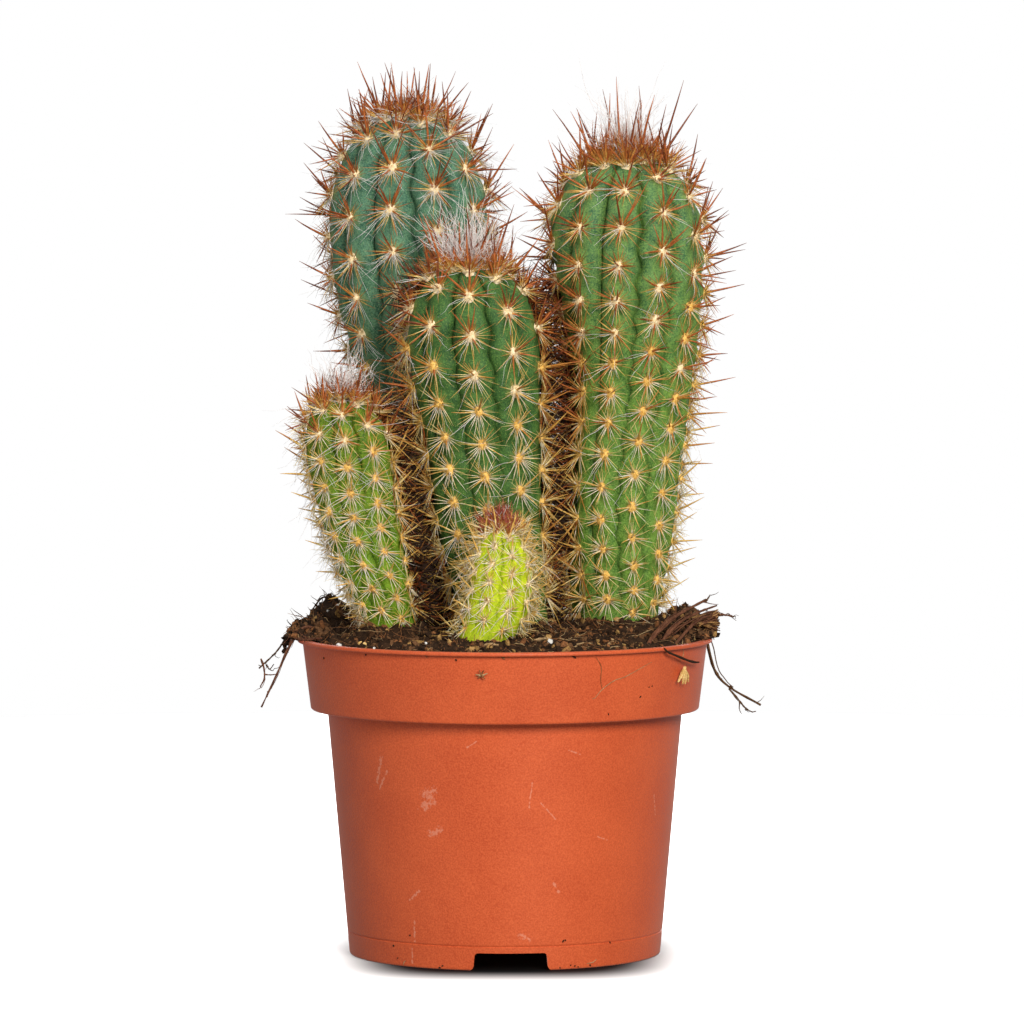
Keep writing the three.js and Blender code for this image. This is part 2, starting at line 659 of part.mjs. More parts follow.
// Faces between two columns of corners that run from the tip to the soil, left then right.
function zip(faces, left, right) {
  let [i, j] = [0, 0];
  while (i < left.length - 1 || j < right.length - 1) {
    const downLeft = j === right.length - 1
      || (i < left.length - 1 && left[i + 1].run <= right[j + 1].run);
    if (downLeft) {
      faces.push([left[i].vertex, left[i + 1].vertex, right[j].vertex]);
      i += 1;
    } else {
      faces.push([left[i].vertex, right[j + 1].vertex, right[j].vertex]);
      j += 1;
    }
  }
}

function stemSkin(stem) {
  const random = randomFrom(stem.seed);
  const profile = profileOf(stem);
  const end = profile[profile.length - 1].run;
  const mesh = { vertices: [], faces: [] };
  const { vertices, faces } = mesh;
  const corner = (point, run) => {
    vertices.push(point);
    return { vertex: vertices.length - 1, run };
  };
  const grooveDepth = (run) => {
    const { soil: low, crown: high } = SKIN.grooveFade;
    const fade = smoothstep(end - run, 0, low) * smoothstep(run, stem.crown, stem.crown + high);
    return crestRadius(stem, heightAt(profile, run)) * stem.groove * fade;
  };
  const foot = (turns, z) => {
    const angle = turns * 2 * Math.PI + footTurn(stem);
    const axis = axisAt(stem, stem.soil);
    const radius = footRadius(stem);
    return new THREE.Vector3(axis.x + radius * Math.sin(angle), axis.y - radius * Math.cos(angle), z);
  };
  const soilLine = stem.soil + SKIN.soilLine;
  const crowns = [];
  const feet = [];
  const sides = [];
  for (let rib = 0; rib < stem.ribs; rib += 1) {
    const turns = rib / stem.ribs;
    const crown = corner(crestPoint(stem, profile, turns, stem.crown), stem.crown);
    const base = corner(foot(turns, soilLine), end + 1);
    const left = [crown];
    const right = [crown];
    const runs = areoleRuns(stem, profile, rib);
    runs.forEach((run, k) => {
      if (k > 0) {
        const between = (run + runs[k - 1]) / 2;
        const notch = corner(crestPoint(stem, profile, turns, between, stem.notch), between);
        left.push(notch);
        right.push(notch);
      }
      const areole = addAreole(mesh, stem, profile, rib, run, (k + rib) % 2 === 0, random);
      left.push(...areole.left);
      right.push(...areole.right);
    });
    left.push(base);
    right.push(base);
    const valleyTurns = (rib + 0.5) / stem.ribs;
    const valley = [corner(crestPoint(stem, profile, valleyTurns, stem.crown), stem.crown)];
    for (const run of runs.filter((_, k) => k % 2 === 1)) {
      const sunk = grooveDepth(run);
      valley.push(corner(crestPoint(stem, profile, valleyTurns, run, sunk), run));
    }
    valley.push(corner(foot(valleyTurns, soilLine), end + 1));
    crowns.push(crown, valley[0]);
    feet.push(base, valley[valley.length - 1]);
    sides.push({ left, right, valley });
  }
  sides.forEach(({ right, valley }, rib) => {
    zip(faces, right, valley);
    zip(faces, valley, sides[(rib + 1) % stem.ribs].left);
  });
  const axis = axisAt(stem, stem.top);
  const peak = corner(new THREE.Vector3(axis.x, axis.y, stem.top), 0).vertex;
  crowns.forEach(({ vertex }, i) => {
    const next = crowns[(i + 1) % crowns.length].vertex;
    const root = new THREE.Vector3();
    for (const v of [peak, vertex, next]) root.addScaledVector(vertices[v], 1 / 3);
    const aim = new THREE.Vector3(root.x - axis.x, root.y - axis.y, 0).normalize();
    aim.multiplyScalar(SPINE.crownLean[i % 2]).add(new THREE.Vector3(0, 0, 1)).normalize();
    const length = stem.spines.bristle * lerp(...SPINE.crownDraw, random());
    raise(faces, vertices, [peak, vertex, next], placeSpine(stem, -1, root, aim, length, random));
  });
  const middle = axisAt(stem, stem.soil);
  const heel = corner(new THREE.Vector3(middle.x, middle.y, stem.foot), 0).vertex;
  const low = feet.map((_, i) => corner(foot(i / feet.length, stem.foot), 0).vertex);
  feet.forEach(({ vertex }, i) => {
    const next = (i + 1) % feet.length;
    faces.push([vertex, low[i], feet[next].vertex], [feet[next].vertex, low[i], low[next]]);
    faces.push([low[i], heel, low[next]]);
  });
  return meshGeometry(vertices, faces);
}

// ---- the whole ----

function named(name, geometry, material) {
  const mesh = new THREE.Mesh(geometry, new THREE.MeshStandardMaterial(material));
  mesh.name = name;
  return mesh;
}

const cactus = new THREE.Group();
cactus.add(named('pot', pot(), { color: 0xc8572f, roughness: 0.45, metalness: 0 }));
cactus.add(named('soil', soil(), { color: 0x3a2a1f, roughness: 0.95, metalness: 0 }));
for (const [name, stem] of Object.entries(STEMS)) {
  cactus.add(named(name, stemSkin(stem), { color: stem.color, roughness: 0.6, metalness: 0 }));
}

export default cactus;
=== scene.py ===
# A potted columnar cactus: five spiny stems in peat, in a terracotta-coloured nursery pot.
import math

import bmesh
import bpy
import numpy as np
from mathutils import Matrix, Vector


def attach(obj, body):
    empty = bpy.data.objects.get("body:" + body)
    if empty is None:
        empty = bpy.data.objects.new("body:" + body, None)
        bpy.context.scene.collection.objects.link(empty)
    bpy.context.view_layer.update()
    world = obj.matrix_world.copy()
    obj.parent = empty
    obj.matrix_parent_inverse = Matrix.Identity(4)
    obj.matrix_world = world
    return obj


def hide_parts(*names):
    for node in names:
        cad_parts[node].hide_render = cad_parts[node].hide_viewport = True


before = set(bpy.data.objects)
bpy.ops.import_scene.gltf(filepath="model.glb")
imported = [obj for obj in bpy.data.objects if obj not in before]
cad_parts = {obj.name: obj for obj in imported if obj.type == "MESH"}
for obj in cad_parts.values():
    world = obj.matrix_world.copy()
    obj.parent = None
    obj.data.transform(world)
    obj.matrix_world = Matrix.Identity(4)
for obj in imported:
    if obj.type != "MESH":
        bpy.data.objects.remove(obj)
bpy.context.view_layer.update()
mm = 0.001  # every length below is in millimetres

view = {
    "eye": (1.8, -1600, 200),
    "target": (1.8, 0, 111.7),
    "pixelsPerMm": 3.96,  # across the pot's axis
    "picture": 1024,
    "sensor": 36,
}

studio = {
    "lights": {  # place, size, watts and colour
        "key": ((480, -1300, 700), 560, 24, (1, 0.975, 0.935)),
        "fill": ((-950, -1000, 420), 800, 3.8, (1, 0.98, 0.97)),
        "top": ((-100, 200, 1100), 700, 5.5, (1, 1, 1)),
        "back": ((150, 1500, 420), 900, 9, (1, 1, 1)),
        "sweep": ((0, -100, 1300), 2200, 52, (1, 1, 1)),
    },
    "surround": 0.15, "mirrored": 0.4,  # how bright the white room is, and how bright its reflection
    "target": (0, 0, 110),
    "floor": 700, "paper": (0.93, 0.96), "bounce": 0.12,  # radius, how pale it looks, what it throws back
    # the painted shadow under the pot, seen by the camera only: half its width and depth, its middle, and
    # where it fades
    "shade": {"across": 36.5, "deep": 46, "middle": (1, -5), "from": 0.75, "to": 1.4},
}


def paint(code):
    channels = [int(code[i:i + 2], 16) / 255 for i in (0, 2, 4)]
    linear = [c / 12.92 if c <= 0.04045 else ((c + 0.055) / 1.055) ** 2.4 for c in channels]
    return (*linear, 1)


# nodes of materials: a socket is linked, a colour code is painted, and any other value is set

def feed(tree, node, inputs):
    for key, value in inputs.items():
        if isinstance(value, bpy.types.NodeSocket):
            tree.links.new(value, node.inputs[key])
        else:
            node.inputs[key].default_value = paint(value) if isinstance(value, str) else value
    return node.outputs


def addNode(tree, kind, inputs=None, **settings):
    node = tree.nodes.new("ShaderNode" + kind)
    for key, value in settings.items():
        setattr(node, key, value)
    return feed(tree, node, inputs or {})


def calculate(tree, operation, *values, clamp=False):
    return addNode(tree, "Math", dict(enumerate(values)), operation=operation, use_clamp=clamp)[0]


def calculateVector(tree, operation, *values):
    put = addNode(tree, "VectorMath", dict(enumerate(values)), operation=operation)
    return put["Value" if operation in ("DOT_PRODUCT", "DISTANCE", "LENGTH") else "Vector"]


def mixColors(tree, share, first, second):
    return addNode(tree, "MixRGB", {"Fac": share, "Color1": first, "Color2": second})[0]


# maps a value from one range to another
def remap(tree, value, fromMin=0.0, fromMax=1.0, toMin=0.0, toMax=1.0, **settings):
    ends = {"From Min": fromMin, "From Max": fromMax, "To Min": toMin, "To Max": toMax}
    return addNode(tree, "MapRange", {"Value": value, **ends}, **settings)[0]


def addNoise(tree, size, detail):
    place = addNode(tree, "TexCoord")["Object"]
    scale = calculate(tree, "DIVIDE", 1.0, size)
    return addNode(tree, "TexNoise", {"Vector": place, "Scale": scale, "Detail": detail})["Fac"]


def newGroup(name, inputs, outputs):
    group = bpy.data.node_groups.new(name, "ShaderNodeTree")
    for label, value in inputs.items():
        kind = "Float" if isinstance(value, float) else {3: "Vector", 4: "Color"}[len(value)]
        socket = group.interface.new_socket(label, in_out="INPUT", socket_type="NodeSocket" + kind)
        socket.default_value = value
    for label, kind in outputs.items():
        group.interface.new_socket(label, in_out="OUTPUT", socket_type="NodeSocket" + kind)
    return group, group.nodes.new("NodeGroupInput").outputs, group.nodes.new("NodeGroupOutput").inputs


# a colour that drifts between a darker and a lighter one, with grains of each
def driftGroup():
    group, given, put = newGroup("colour drift", {
        "Color": (0.5, 0.5, 0.5, 1), "Dark": (0, 0, 0, 1), "Light": (1, 1, 1, 1),
        "Patch Size": 0.005, "Grain Size": 0.0005, "Patches": 0.5, "Grains": 0.3,
    }, {"Color": "Color", "Mask": "Float"})
    color = given["Color"]
    for share, size in (("Patches", "Patch Size"), ("Grains", "Grain Size")):
        mask = remap(group, addNoise(group, given[size], 3.0), 0.36, 0.64)
        color = mixColors(group, given[share], color, mixColors(group, mask, given["Dark"], given["Light"]))
    group.links.new(color, put["Color"])
    group.links.new(mask, put["Mask"])
    return group


# small unevenness of a surface
def reliefGroup():
    sizes = {"Size": 0.0005, "Depth": 0.0001, "Detail": 3.0}
    group, given, put = newGroup("relief", sizes, {"Normal": "Vector"})
    noise = addNoise(group, given["Size"], given["Detail"])
    bump = addNode(group, "Bump", {"Height": noise, "Distance": given["Depth"], "Strength": 1.0})
    group.links.new(bump[0], put["Normal"])
    return group


# a rubbed line from one point to another, broken along its length, over the lines before it
def scuffGroup():
    group, given, put = newGroup("scuff", {
        "Start": (0, 0, 0), "End": (0, 0, 0), "Width": 0.0002, "Break Size": 0.001, "Before": 0.0,
    }, {"Mask": "Float"})
    line = calculateVector(group, "SUBTRACT", given["End"], given["Start"])
    reach = calculateVector(group, "SUBTRACT", addNode(group, "TexCoord")["Object"], given["Start"])
    dot = calculateVector(group, "DOT_PRODUCT", reach, line)
    whole = calculateVector(group, "DOT_PRODUCT", line, line)
    share = calculate(group, "DIVIDE", dot, whole, clamp=True)
    foot = addNode(group, "VectorMath", {0: line, "Scale": share}, operation="SCALE")[0]
    away = calculateVector(group, "DISTANCE", reach, foot)
    rough = remap(group, addNoise(group, given["Break Size"], 4.0), 0.35, 0.62)
    width = calculate(group, "MULTIPLY", given["Width"], rough)
    near = calculate(group, "SUBTRACT", width, away)
    mask = calculate(group, "DIVIDE", near, given["Width"])
    sharp = calculate(group, "MULTIPLY", mask, 2.5, clamp=True)
    group.links.new(calculate(group, "MAXIMUM", sharp, given["Before"]), put["Mask"])
    return group


colourDrift = driftGroup()
relief = reliefGroup()
scuff = scuffGroup()
paints = {}  # every material by its name


def newMaterial(name, roughness, specular, more=None):
    paints[name] = bpy.data.materials.new(name)
    paints[name].use_nodes = True
    tree = paints[name].node_tree
    shader = tree.nodes["Principled BSDF"]
    feed(tree, shader, {"Roughness": roughness, "Specular IOR Level": specular, **(more or {})})
    return tree, shader.inputs


# colors are the base, a darker and a lighter one
def addDrift(tree, colors, patch, grain, patches, grains):
    return addNode(tree, "Group", {
        **dict(zip(("Color", "Dark", "Light"), colors)),
        "Patch Size": patch * mm, "Grain Size": grain * mm, "Patches": patches, "Grains": grains,
    }, node_tree=colourDrift)


def addRelief(tree, shader, size, depth):
    bump = addNode(tree, "Group", {"Size": size * mm, "Depth": depth * mm}, node_tree=relief)
    tree.links.new(bump["Normal"], shader["Normal"])


# finishes of small things, alike in their drift, roughness and gloss
def addPaints(finishes, drift, roughness, specular):
    for name, colors in finishes.items():
        tree, shader = newMaterial(name, roughness, specular)
        tree.links.new(addDrift(tree, colors, **drift)["Color"], shader["Base Color"])


# meshes: a part is its points, its sets of faces and the slot of each face

def unit(vectors):
    return vectors / np.maximum(np.linalg.norm(vectors, axis=-1, keepdims=True), 1e-9)


def makePiece(name, part, finishes, smooth=True):
    points, faceSets, slots = part
    mesh = bpy.data.meshes.new(name)
    mesh.vertices.add(len(points))
    mesh.vertices.foreach_set("co", (np.asarray(points, np.float32) * mm).ravel())
    corners = np.concatenate([faces.ravel() for faces in faceSets]).astype(np.int32)
    counts = np.concatenate([np.full(len(faces), faces.shape[1]) for faces in faceSets])
    starts = np.concatenate([[0], np.cumsum(counts)[:-1]]).astype(np.int32)
    mesh.loops.add(len(corners))
    mesh.loops.foreach_set("vertex_index", corners)
    mesh.polygons.add(len(counts))
    mesh.polygons.foreach_set("loop_start", starts)
    mesh.polygons.foreach_set("material_index", np.concatenate(slots).astype(np.int32))
    mesh.polygons.foreach_set("use_smooth", np.full(len(counts), smooth))
    for finish in finishes:
        mesh.materials.append(paints[finish])
    mesh.update(calc_edges=True)
    mesh.validate()
    piece = bpy.data.objects.new(name, mesh)
    bpy.context.scene.collection.objects.link(piece)
    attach(piece, "root")
    print(name, len(mesh.polygons), "faces")
    return piece


def joinParts(parts):
    points, faceSets, slots = [], [], []
    before = 0
    for part in parts:
        points.append(part[0])
        faceSets += [faces + before for faces in part[1]]
        slots += part[2]
        before += len(part[0])
    return np.concatenate(points), faceSets, slots


# a grid of points whose rows close on themselves: each, the next in its row, and the faces between
def ringFaces(*shape):
    index = np.arange(math.prod(shape)).reshape(shape)
    beside = np.roll(index, -1, axis=-1)
    quads = np.stack([index[..., :-1, :], beside[..., :-1, :], beside[..., 1:, :], index[..., 1:, :]], -1)
    return index, beside, quads.reshape(-1, 4)


# a closed surface over rings of points, with a point at each end
def closedPart(rings, ends, turned=False):
    index, beside, quads = ringFaces(*rings.shape[:2])
    first = np.stack([np.full(len(index[0]), index.size), beside[0], index[0]], -1)
    last = np.stack([np.full(len(index[0]), index.size + 1), index[-1], beside[-1]], -1)
    faces = [quads, np.concatenate([first, last])]
    if turned:
        faces = [np.roll(face[:, ::-1], 1, axis=1) for face in faces]
    return np.concatenate([rings.reshape(-1, 3), ends]), faces, [np.zeros(len(face)) for face in faces]


# the faces of many copies of one shape
def copyFaces(faces, copies, points):
    step = (np.arange(copies) * points)[:, None, None]
    return (faces[None] + step).reshape(-1, faces.shape[1])


# tapered strands; paths is strands x points x 3, radii is strands x points
def strandPart(paths, radii, sides=3, levels=0):
    count, steps = radii.shape
    tangent = unit(np.gradient(paths, axis=1))
    upright = np.abs(tangent[:, :1, 2:3]) > 0.8
    helper = np.where(upright, np.array([1.0, 0, 0]), np.array([0, 0, 1.0]))
    across = unit(np.cross(tangent, helper))
    over = np.cross(tangent, across)
    turn = (np.arange(sides) / sides * 2 * np.pi)[None, None, :, None]
    ring = across[:, :, None] * np.cos(turn) + over[:, :, None] * np.sin(turn)
    points = paths[:, :, None] + radii[:, :, None, None] * ring
    index, _, quads = ringFaces(count, steps, sides)
    caps = np.concatenate([index[:, 0, ::-1], index[:, -1]])
    levels = np.broadcast_to(levels, (count, steps - 1))
    quadSlots = np.repeat(levels[:, :, None], sides, axis=2).ravel()
    capSlots = np.concatenate([levels[:, 0], levels[:, -1]])
    return points.reshape(-1, 3), [quads, caps], [quadSlots, capSlots]


# smooth unevenness at points: waves in random directions
def ripple(points, wavelength, seed, waves=10):
    random = np.random.default_rng(seed)
    pushes = unit(random.normal(size=(waves, 3))) * 2 * np.pi / wavelength
    pushes *= random.uniform(0.7, 1.4, (waves, 1))
    return np.sin(points @ pushes.T + random.uniform(0, 2 * np.pi, waves)).sum(-1) / math.sqrt(waves)


def smoothstep(value, low, high):
    t = np.clip((value - low) / (high - low), 0, 1)
    return t * t * (3 - 2 * t)


# what most stems share
usual = {
    "groove": 0.17, "notch": 0.8, "pad": 0.8, "felt": 1.3, "crown": 3.4, "crowding": 4.2, "ring": "b3ac58",
    "hairs": 5, "matted": 0, "thicket": ("deep", "front"),
}

# the stems' form: stations are height, axis x, radius of the crests, turn in degrees, spacing of areoles
stems = {
    "stem_right": {
        **usual, "ribs": 11, "back": (-5, -2), "soil": 85, "domeFrom": 178, "top": 200.8, "bluntness": 2.5,
        "felt": 1.22, "firstRow": 0.22, "shift": 0.4, "goldBelow": 0.62, "seed": 11,
        "stations": [
            (86, 27.5, 11, -9, 5.6), (97, 28.5, 12.6, -15, 6.4), (110, 29.6, 13.7, -24, 7.8),
            (125, 30.8, 14.4, -25, 8.3), (140, 32, 15.2, -22, 7.4), (155, 32.2, 16.9, -17, 7.7),
            (170, 31.4, 18.9, -10, 8.8), (182, 30.5, 19.6, -5, 9.8), (201, 30.6, 19.6, 0, 9.4),
        ],
        # skin colours: groove is the painted shade in the grooves, crest the painted highlight on the crests;
        # the same in every stem
        "skin": {
            "top": "447762", "middle": "487624", "low": "4c7810", "groove": "163d1f", "crest": "8fb454",
            "speck": "a6bf68",
        },
        "spines": {
            "radial": 5.6, "count": 30, "sparse": 0.66, "central": (8.5, 14.5), "centrals": 4,
            "redFrom": 0.5, "youngBelow": 15, "youngEach": 16, "stoutBelow": 38, "stoutEach": 3,
        },
        "tuft": {
            "width": 10.5, "rows": 5, "each": 20, "length": 9.6, "long": 15, "longest": 21.5,
            "levels": (2.6, 4.5),
        },
        "wool": {"count": 330, "length": 17.5, "width": 2.9, "finish": "rosyHair"},
    },
    "stem_centre": {
        **usual, "ribs": 10, "back": (-12, -13.5), "soil": 84.2, "domeFrom": 150, "top": 174,
        "bluntness": 2.6, "crown": 3.2, "firstRow": 0.44, "shift": 0.58, "goldBelow": 0.7, "seed": 23,
        "stations": [
            (86, -0.5, 11.5, 4, 7), (105, -3.3, 13.4, 0, 7.8), (118, -4.5, 14.3, 0, 8.3),
            (132, -5.6, 15.3, -1, 8.2), (145, -7, 16.8, -1, 9.2), (156, -7.8, 17.4, -2, 10.3),
            (174, -8.5, 17.4, -3, 10.3),
        ],
        "skin": {
            "top": "3e6741", "middle": "34592a", "low": "395e20", "groove": "123018", "crest": "648e42",
            "speck": "9fb552",
        },
        "spines": {
            "radial": 6, "count": 28, "sparse": 0.8, "central": (8.5, 13.5), "centrals": 3, "redFrom": 0.7,
            "youngBelow": 12, "youngEach": 14, "stoutBelow": 28, "stoutEach": 2,
        },
        "tuft": {
            "width": 9, "rows": 4, "each": 18, "length": 8.6, "long": 13, "longest": 17,
            "levels": (2.7, 4.6),
        },
        "wool": {"count": 400, "length": 16.5, "width": 6, "finish": "rosyHair"},
    },
    "stem_back_left": {
        **usual, "ribs": 11, "back": (22, 24.5), "soil": 85, "domeFrom": 180, "top": 212.4,
        "bluntness": 2.3, "firstRow": 0.74, "shift": 0.48, "hairs": 25, "goldBelow": 0.5, "seed": 37,
        "stations": [
            (86, -17.5, 11.5, -36, 7), (115, -18.3, 13.8, -32, 8), (138, -19.2, 16.6, -26, 8.2),
            (152, -20.5, 19.4, -19, 8.6), (168, -22.9, 21.2, -12, 9.8), (183, -24.5, 21, -12, 10.8),
            (213, -25, 20.8, -12, 10.2),
        ],
        "skin": {
            "top": "437365", "middle": "446f4c", "low": "3a6126", "groove": "163b2e", "crest": "7aa67e",
            "speck": "a2bd7c",
        },
        "spines": {
            "radial": 6.1, "count": 26, "sparse": 0.8, "central": (8.5, 14.5), "centrals": 4,
            "redFrom": 0.45, "youngBelow": 12, "youngEach": 12, "stoutBelow": 40, "stoutEach": 3,
        },
        "tuft": {
            "width": 8.5, "rows": 4, "each": 19, "length": 6.8, "long": 10, "longest": 17,
            "levels": (2.6, 4.5),
        },
        "wool": {"count": 110, "length": 9, "width": 3.5, "finish": "whiteHair"},
    },
    "stem_left_small": {
        **usual, "ribs": 10, "back": (-18, -18), "soil": 84, "domeFrom": 126, "top": 141, "bluntness": 2.5,
        "groove": 0.15, "notch": 0.5, "pad": 0.65, "felt": 1.02, "crown": 2.2, "crowding": 3.6,
        "firstRow": 0.92, "shift": 0.58, "hairs": 9, "matted": 20, "goldBelow": 0.8, "seed": 41,
        "stations": [
            (84, -28.5, 6.2, -5, 5.4), (90, -30.2, 7.6, -8, 5.6), (98, -32.6, 9.2, -12, 5.9),
            (108, -35, 10.2, -11, 6), (118, -37.2, 10.8, -6, 6.3), (128, -39, 11.2, -2, 6.7),
            (141, -40.8, 11.2, -1, 6.7),
        ],
        "skin": {
            "top": "375c24", "middle": "58821a", "low": "5d8b10", "groove": "20430f", "crest": "96b537",
            "speck": "a6bb52",
        },
        "spines": {
            "radial": 4.9, "count": 30, "sparse": 0.58, "central": (6, 10), "centrals": 3, "redFrom": 0.85,
            "youngBelow": 9, "youngEach": 14, "stoutBelow": 16, "stoutEach": 2,
        },
        "tuft": {
            "width": 5.5, "rows": 4, "each": 12, "length": 6.8, "long": 7, "longest": 9.5,
            "levels": (2.8, 4.7),
        },
        "wool": {"count": 260, "length": 11.5, "width": 3.6, "finish": "rosyHair"},
    },
    "stem_front_tiny": {
        **usual, "ribs": 9, "back": (-34.5, -34.5), "soil": 81.6, "domeFrom": 95, "top": 110,
        "bluntness": 2.2, "groove": 0.13, "notch": 0.35, "pad": 0.6, "felt": 0.72, "crown": 1.9,
        "crowding": 2.6, "firstRow": 0.9, "shift": 0.44, "hairs": 2, "goldBelow": 0.1, "seed": 53,
        "ring": "dccf50", "thicket": ("fringe",),
        "stations": [
            (80, -6, 6.6, -14, 4.6), (86, -3, 7.6, -18, 4.8), (93, -1.3, 7.9, -21, 4.6),
            (100, -0.7, 7.6, -20, 4.5), (110, -1.2, 7.5, -12, 4.6),
        ],
        "skin": {
            "top": "b2c61e", "middle": "cfe016", "low": "a2c021", "groove": "70931a", "crest": "dfe930",
            "speck": "d8e44a",
        },
        "spines": {
            "radial": 4.6, "count": 16, "sparse": 1, "central": (5, 7), "centrals": 2, "redFrom": 1.4,
            "youngBelow": 4, "youngEach": 6, "stoutBelow": 3, "stoutEach": 1,
        },
        "tuft": {
            "width": 4.8, "rows": 3, "each": 20, "length": 7.4, "long": 0, "longest": 7,
            "levels": (3.9, 4.5), "rosy": 4,
        },
        "wool": {"count": 30, "length": 6, "width": 2, "finish": "rosyHair"},
    },
}

column = {"x": 1, "radius": 2, "turn": 3, "pitch": 4}


# a smooth curve through the stations' values
def along(stem, z, key):
    table = np.array(stem["stations"], float)
    heights, values = table[:, 0], table[:, column[key]]
    last = len(heights) - 1
    i = np.clip(np.searchsorted(heights, z, side="right") - 1, 0, last - 1)
    before, after = np.maximum(i - 1, 0), np.minimum(i + 2, last)
    span = heights[i + 1] - heights[i]
    t = np.clip((z - heights[i]) / span, 0, 1)
    rise = (values[i + 1] - values[before]) / (heights[i + 1] - heights[before]) * span
    fall = (values[after] - values[i]) / (heights[after] - heights[i]) * span
    cubic = 2 * values[i] - 2 * values[i + 1] + rise + fall
    square = 3 * values[i + 1] - 3 * values[i] - 2 * rise - fall
    return values[i] + t * (rise + t * (square + t * cubic))


def axisAt(stem, z):
    climb = np.clip((z - stem["soil"]) / (stem["top"] - stem["soil"]), 0, 1)
    y = stem["back"][0] + (stem["back"][1] - stem["back"][0]) * climb
    return along(stem, np.maximum(z, stem["soil"]), "x"), y


def crestRadius(stem, z):
    rise = np.clip((z - stem["domeFrom"]) / (stem["top"] - stem["domeFrom"]), 0, 1)
    dome = (1 - rise ** stem["bluntness"]) ** (1 / stem["bluntness"])
    return along(stem, z, "radius") * dome


# heights down a stem with their distance along a crest, and how many areoles lie above each
def growProfile(stem):
    steps = np.linspace(1, 0, 241)
    rise = np.sin(steps * np.pi / 2) ** (2 / stem["bluntness"])
    dome = stem["domeFrom"] + (stem["top"] - stem["domeFrom"]) * rise
    z = np.concatenate([dome, np.arange(stem["domeFrom"] - 0.5, stem["soil"] - 5, -0.5)])
    run = np.concatenate([[0], np.cumsum(np.hypot(np.diff(z), np.diff(crestRadius(stem, z))))])
    stem["z"], stem["run"] = z, run
    stem["end"] = np.interp(-stem["soil"], -z, run)
    spacing = np.minimum(along(stem, z, "pitch"), stem["crowding"] + 0.34 * run)
    rows = np.concatenate([[0], np.cumsum(np.diff(run) / spacing[1:])])
    stem["rows"] = rows - np.interp(stem["crown"] + stem["pad"] * 2, run, rows)


def heightAt(stem, run):
    return np.interp(run, stem["run"], stem["z"])


def crestPoint(stem, turns, run, sunk=0.0):
    z = heightAt(stem, run)
    angle = turns * 2 * np.pi + np.radians(along(stem, z, "turn"))
    x, y = axisAt(stem, z)
    radius = crestRadius(stem, z) - sunk
    return np.stack([x + radius * np.sin(angle), y - radius * np.cos(angle), z], -1)


def phaseOf(stem, rib, run):
    return np.interp(run, stem["run"], stem["rows"]) + (rib * stem["shift"] + stem["firstRow"]) % 1


# every areole of a stem: its place, its right, up and out, and how far up the stem it is
def findAreoles(stem):
    ribs, runs = [], []
    lastRun = stem["end"] - stem["pad"] * 2.2
    for rib in range(stem["ribs"]):
        phases = phaseOf(stem, rib, stem["run"])
        rows = np.arange(1, int(phaseOf(stem, rib, lastRun)) + 1)
        found = np.interp(rows, phases, stem["run"])
        runs += list(found)
        ribs += [rib] * len(found)
    ribs, runs = np.array(ribs), np.array(runs)
    turns = ribs / stem["ribs"]
    here = crestPoint(stem, turns, runs)
    up = unit(crestPoint(stem, turns, runs - 1) - crestPoint(stem, turns, runs + 1))
    x, y = axisAt(stem, here[:, 2])
    right = unit(np.stack([-(here[:, 1] - y), here[:, 0] - x, np.zeros(len(x))], -1))
    climb = (here[:, 2] - stem["soil"]) / (stem["top"] - stem["soil"])
    return {"here": here, "right": right, "up": up, "out": np.cross(right, up), "climb": climb, "run": runs}


def insideStem(stem, points, margin):
    z = np.minimum(points[..., 2], stem["top"] - 0.01)
    x, y = axisAt(stem, z)
    near = np.hypot(points[..., 0] - x, points[..., 1] - y) < crestRadius(stem, z) + margin
    return near & (points[..., 2] < stem["top"] + margin) & (points[..., 2] > stem["soil"] - 5)


for plant in stems.values():
    growProfile(plant)


# the skin's relief: grooves are sharp on the young top of a stem and shallow below
skinForm = {
    "perRib": 24, "step": 0.5, "old": 0.72, "youngFrom": (0.5, 0.92), "sway": 0.035, "crease": 0.45,
    "creaseWidth": 0.09, "notchWidth": 0.6, "uneven": ((9, 0.16), (3, 0.07)),
}


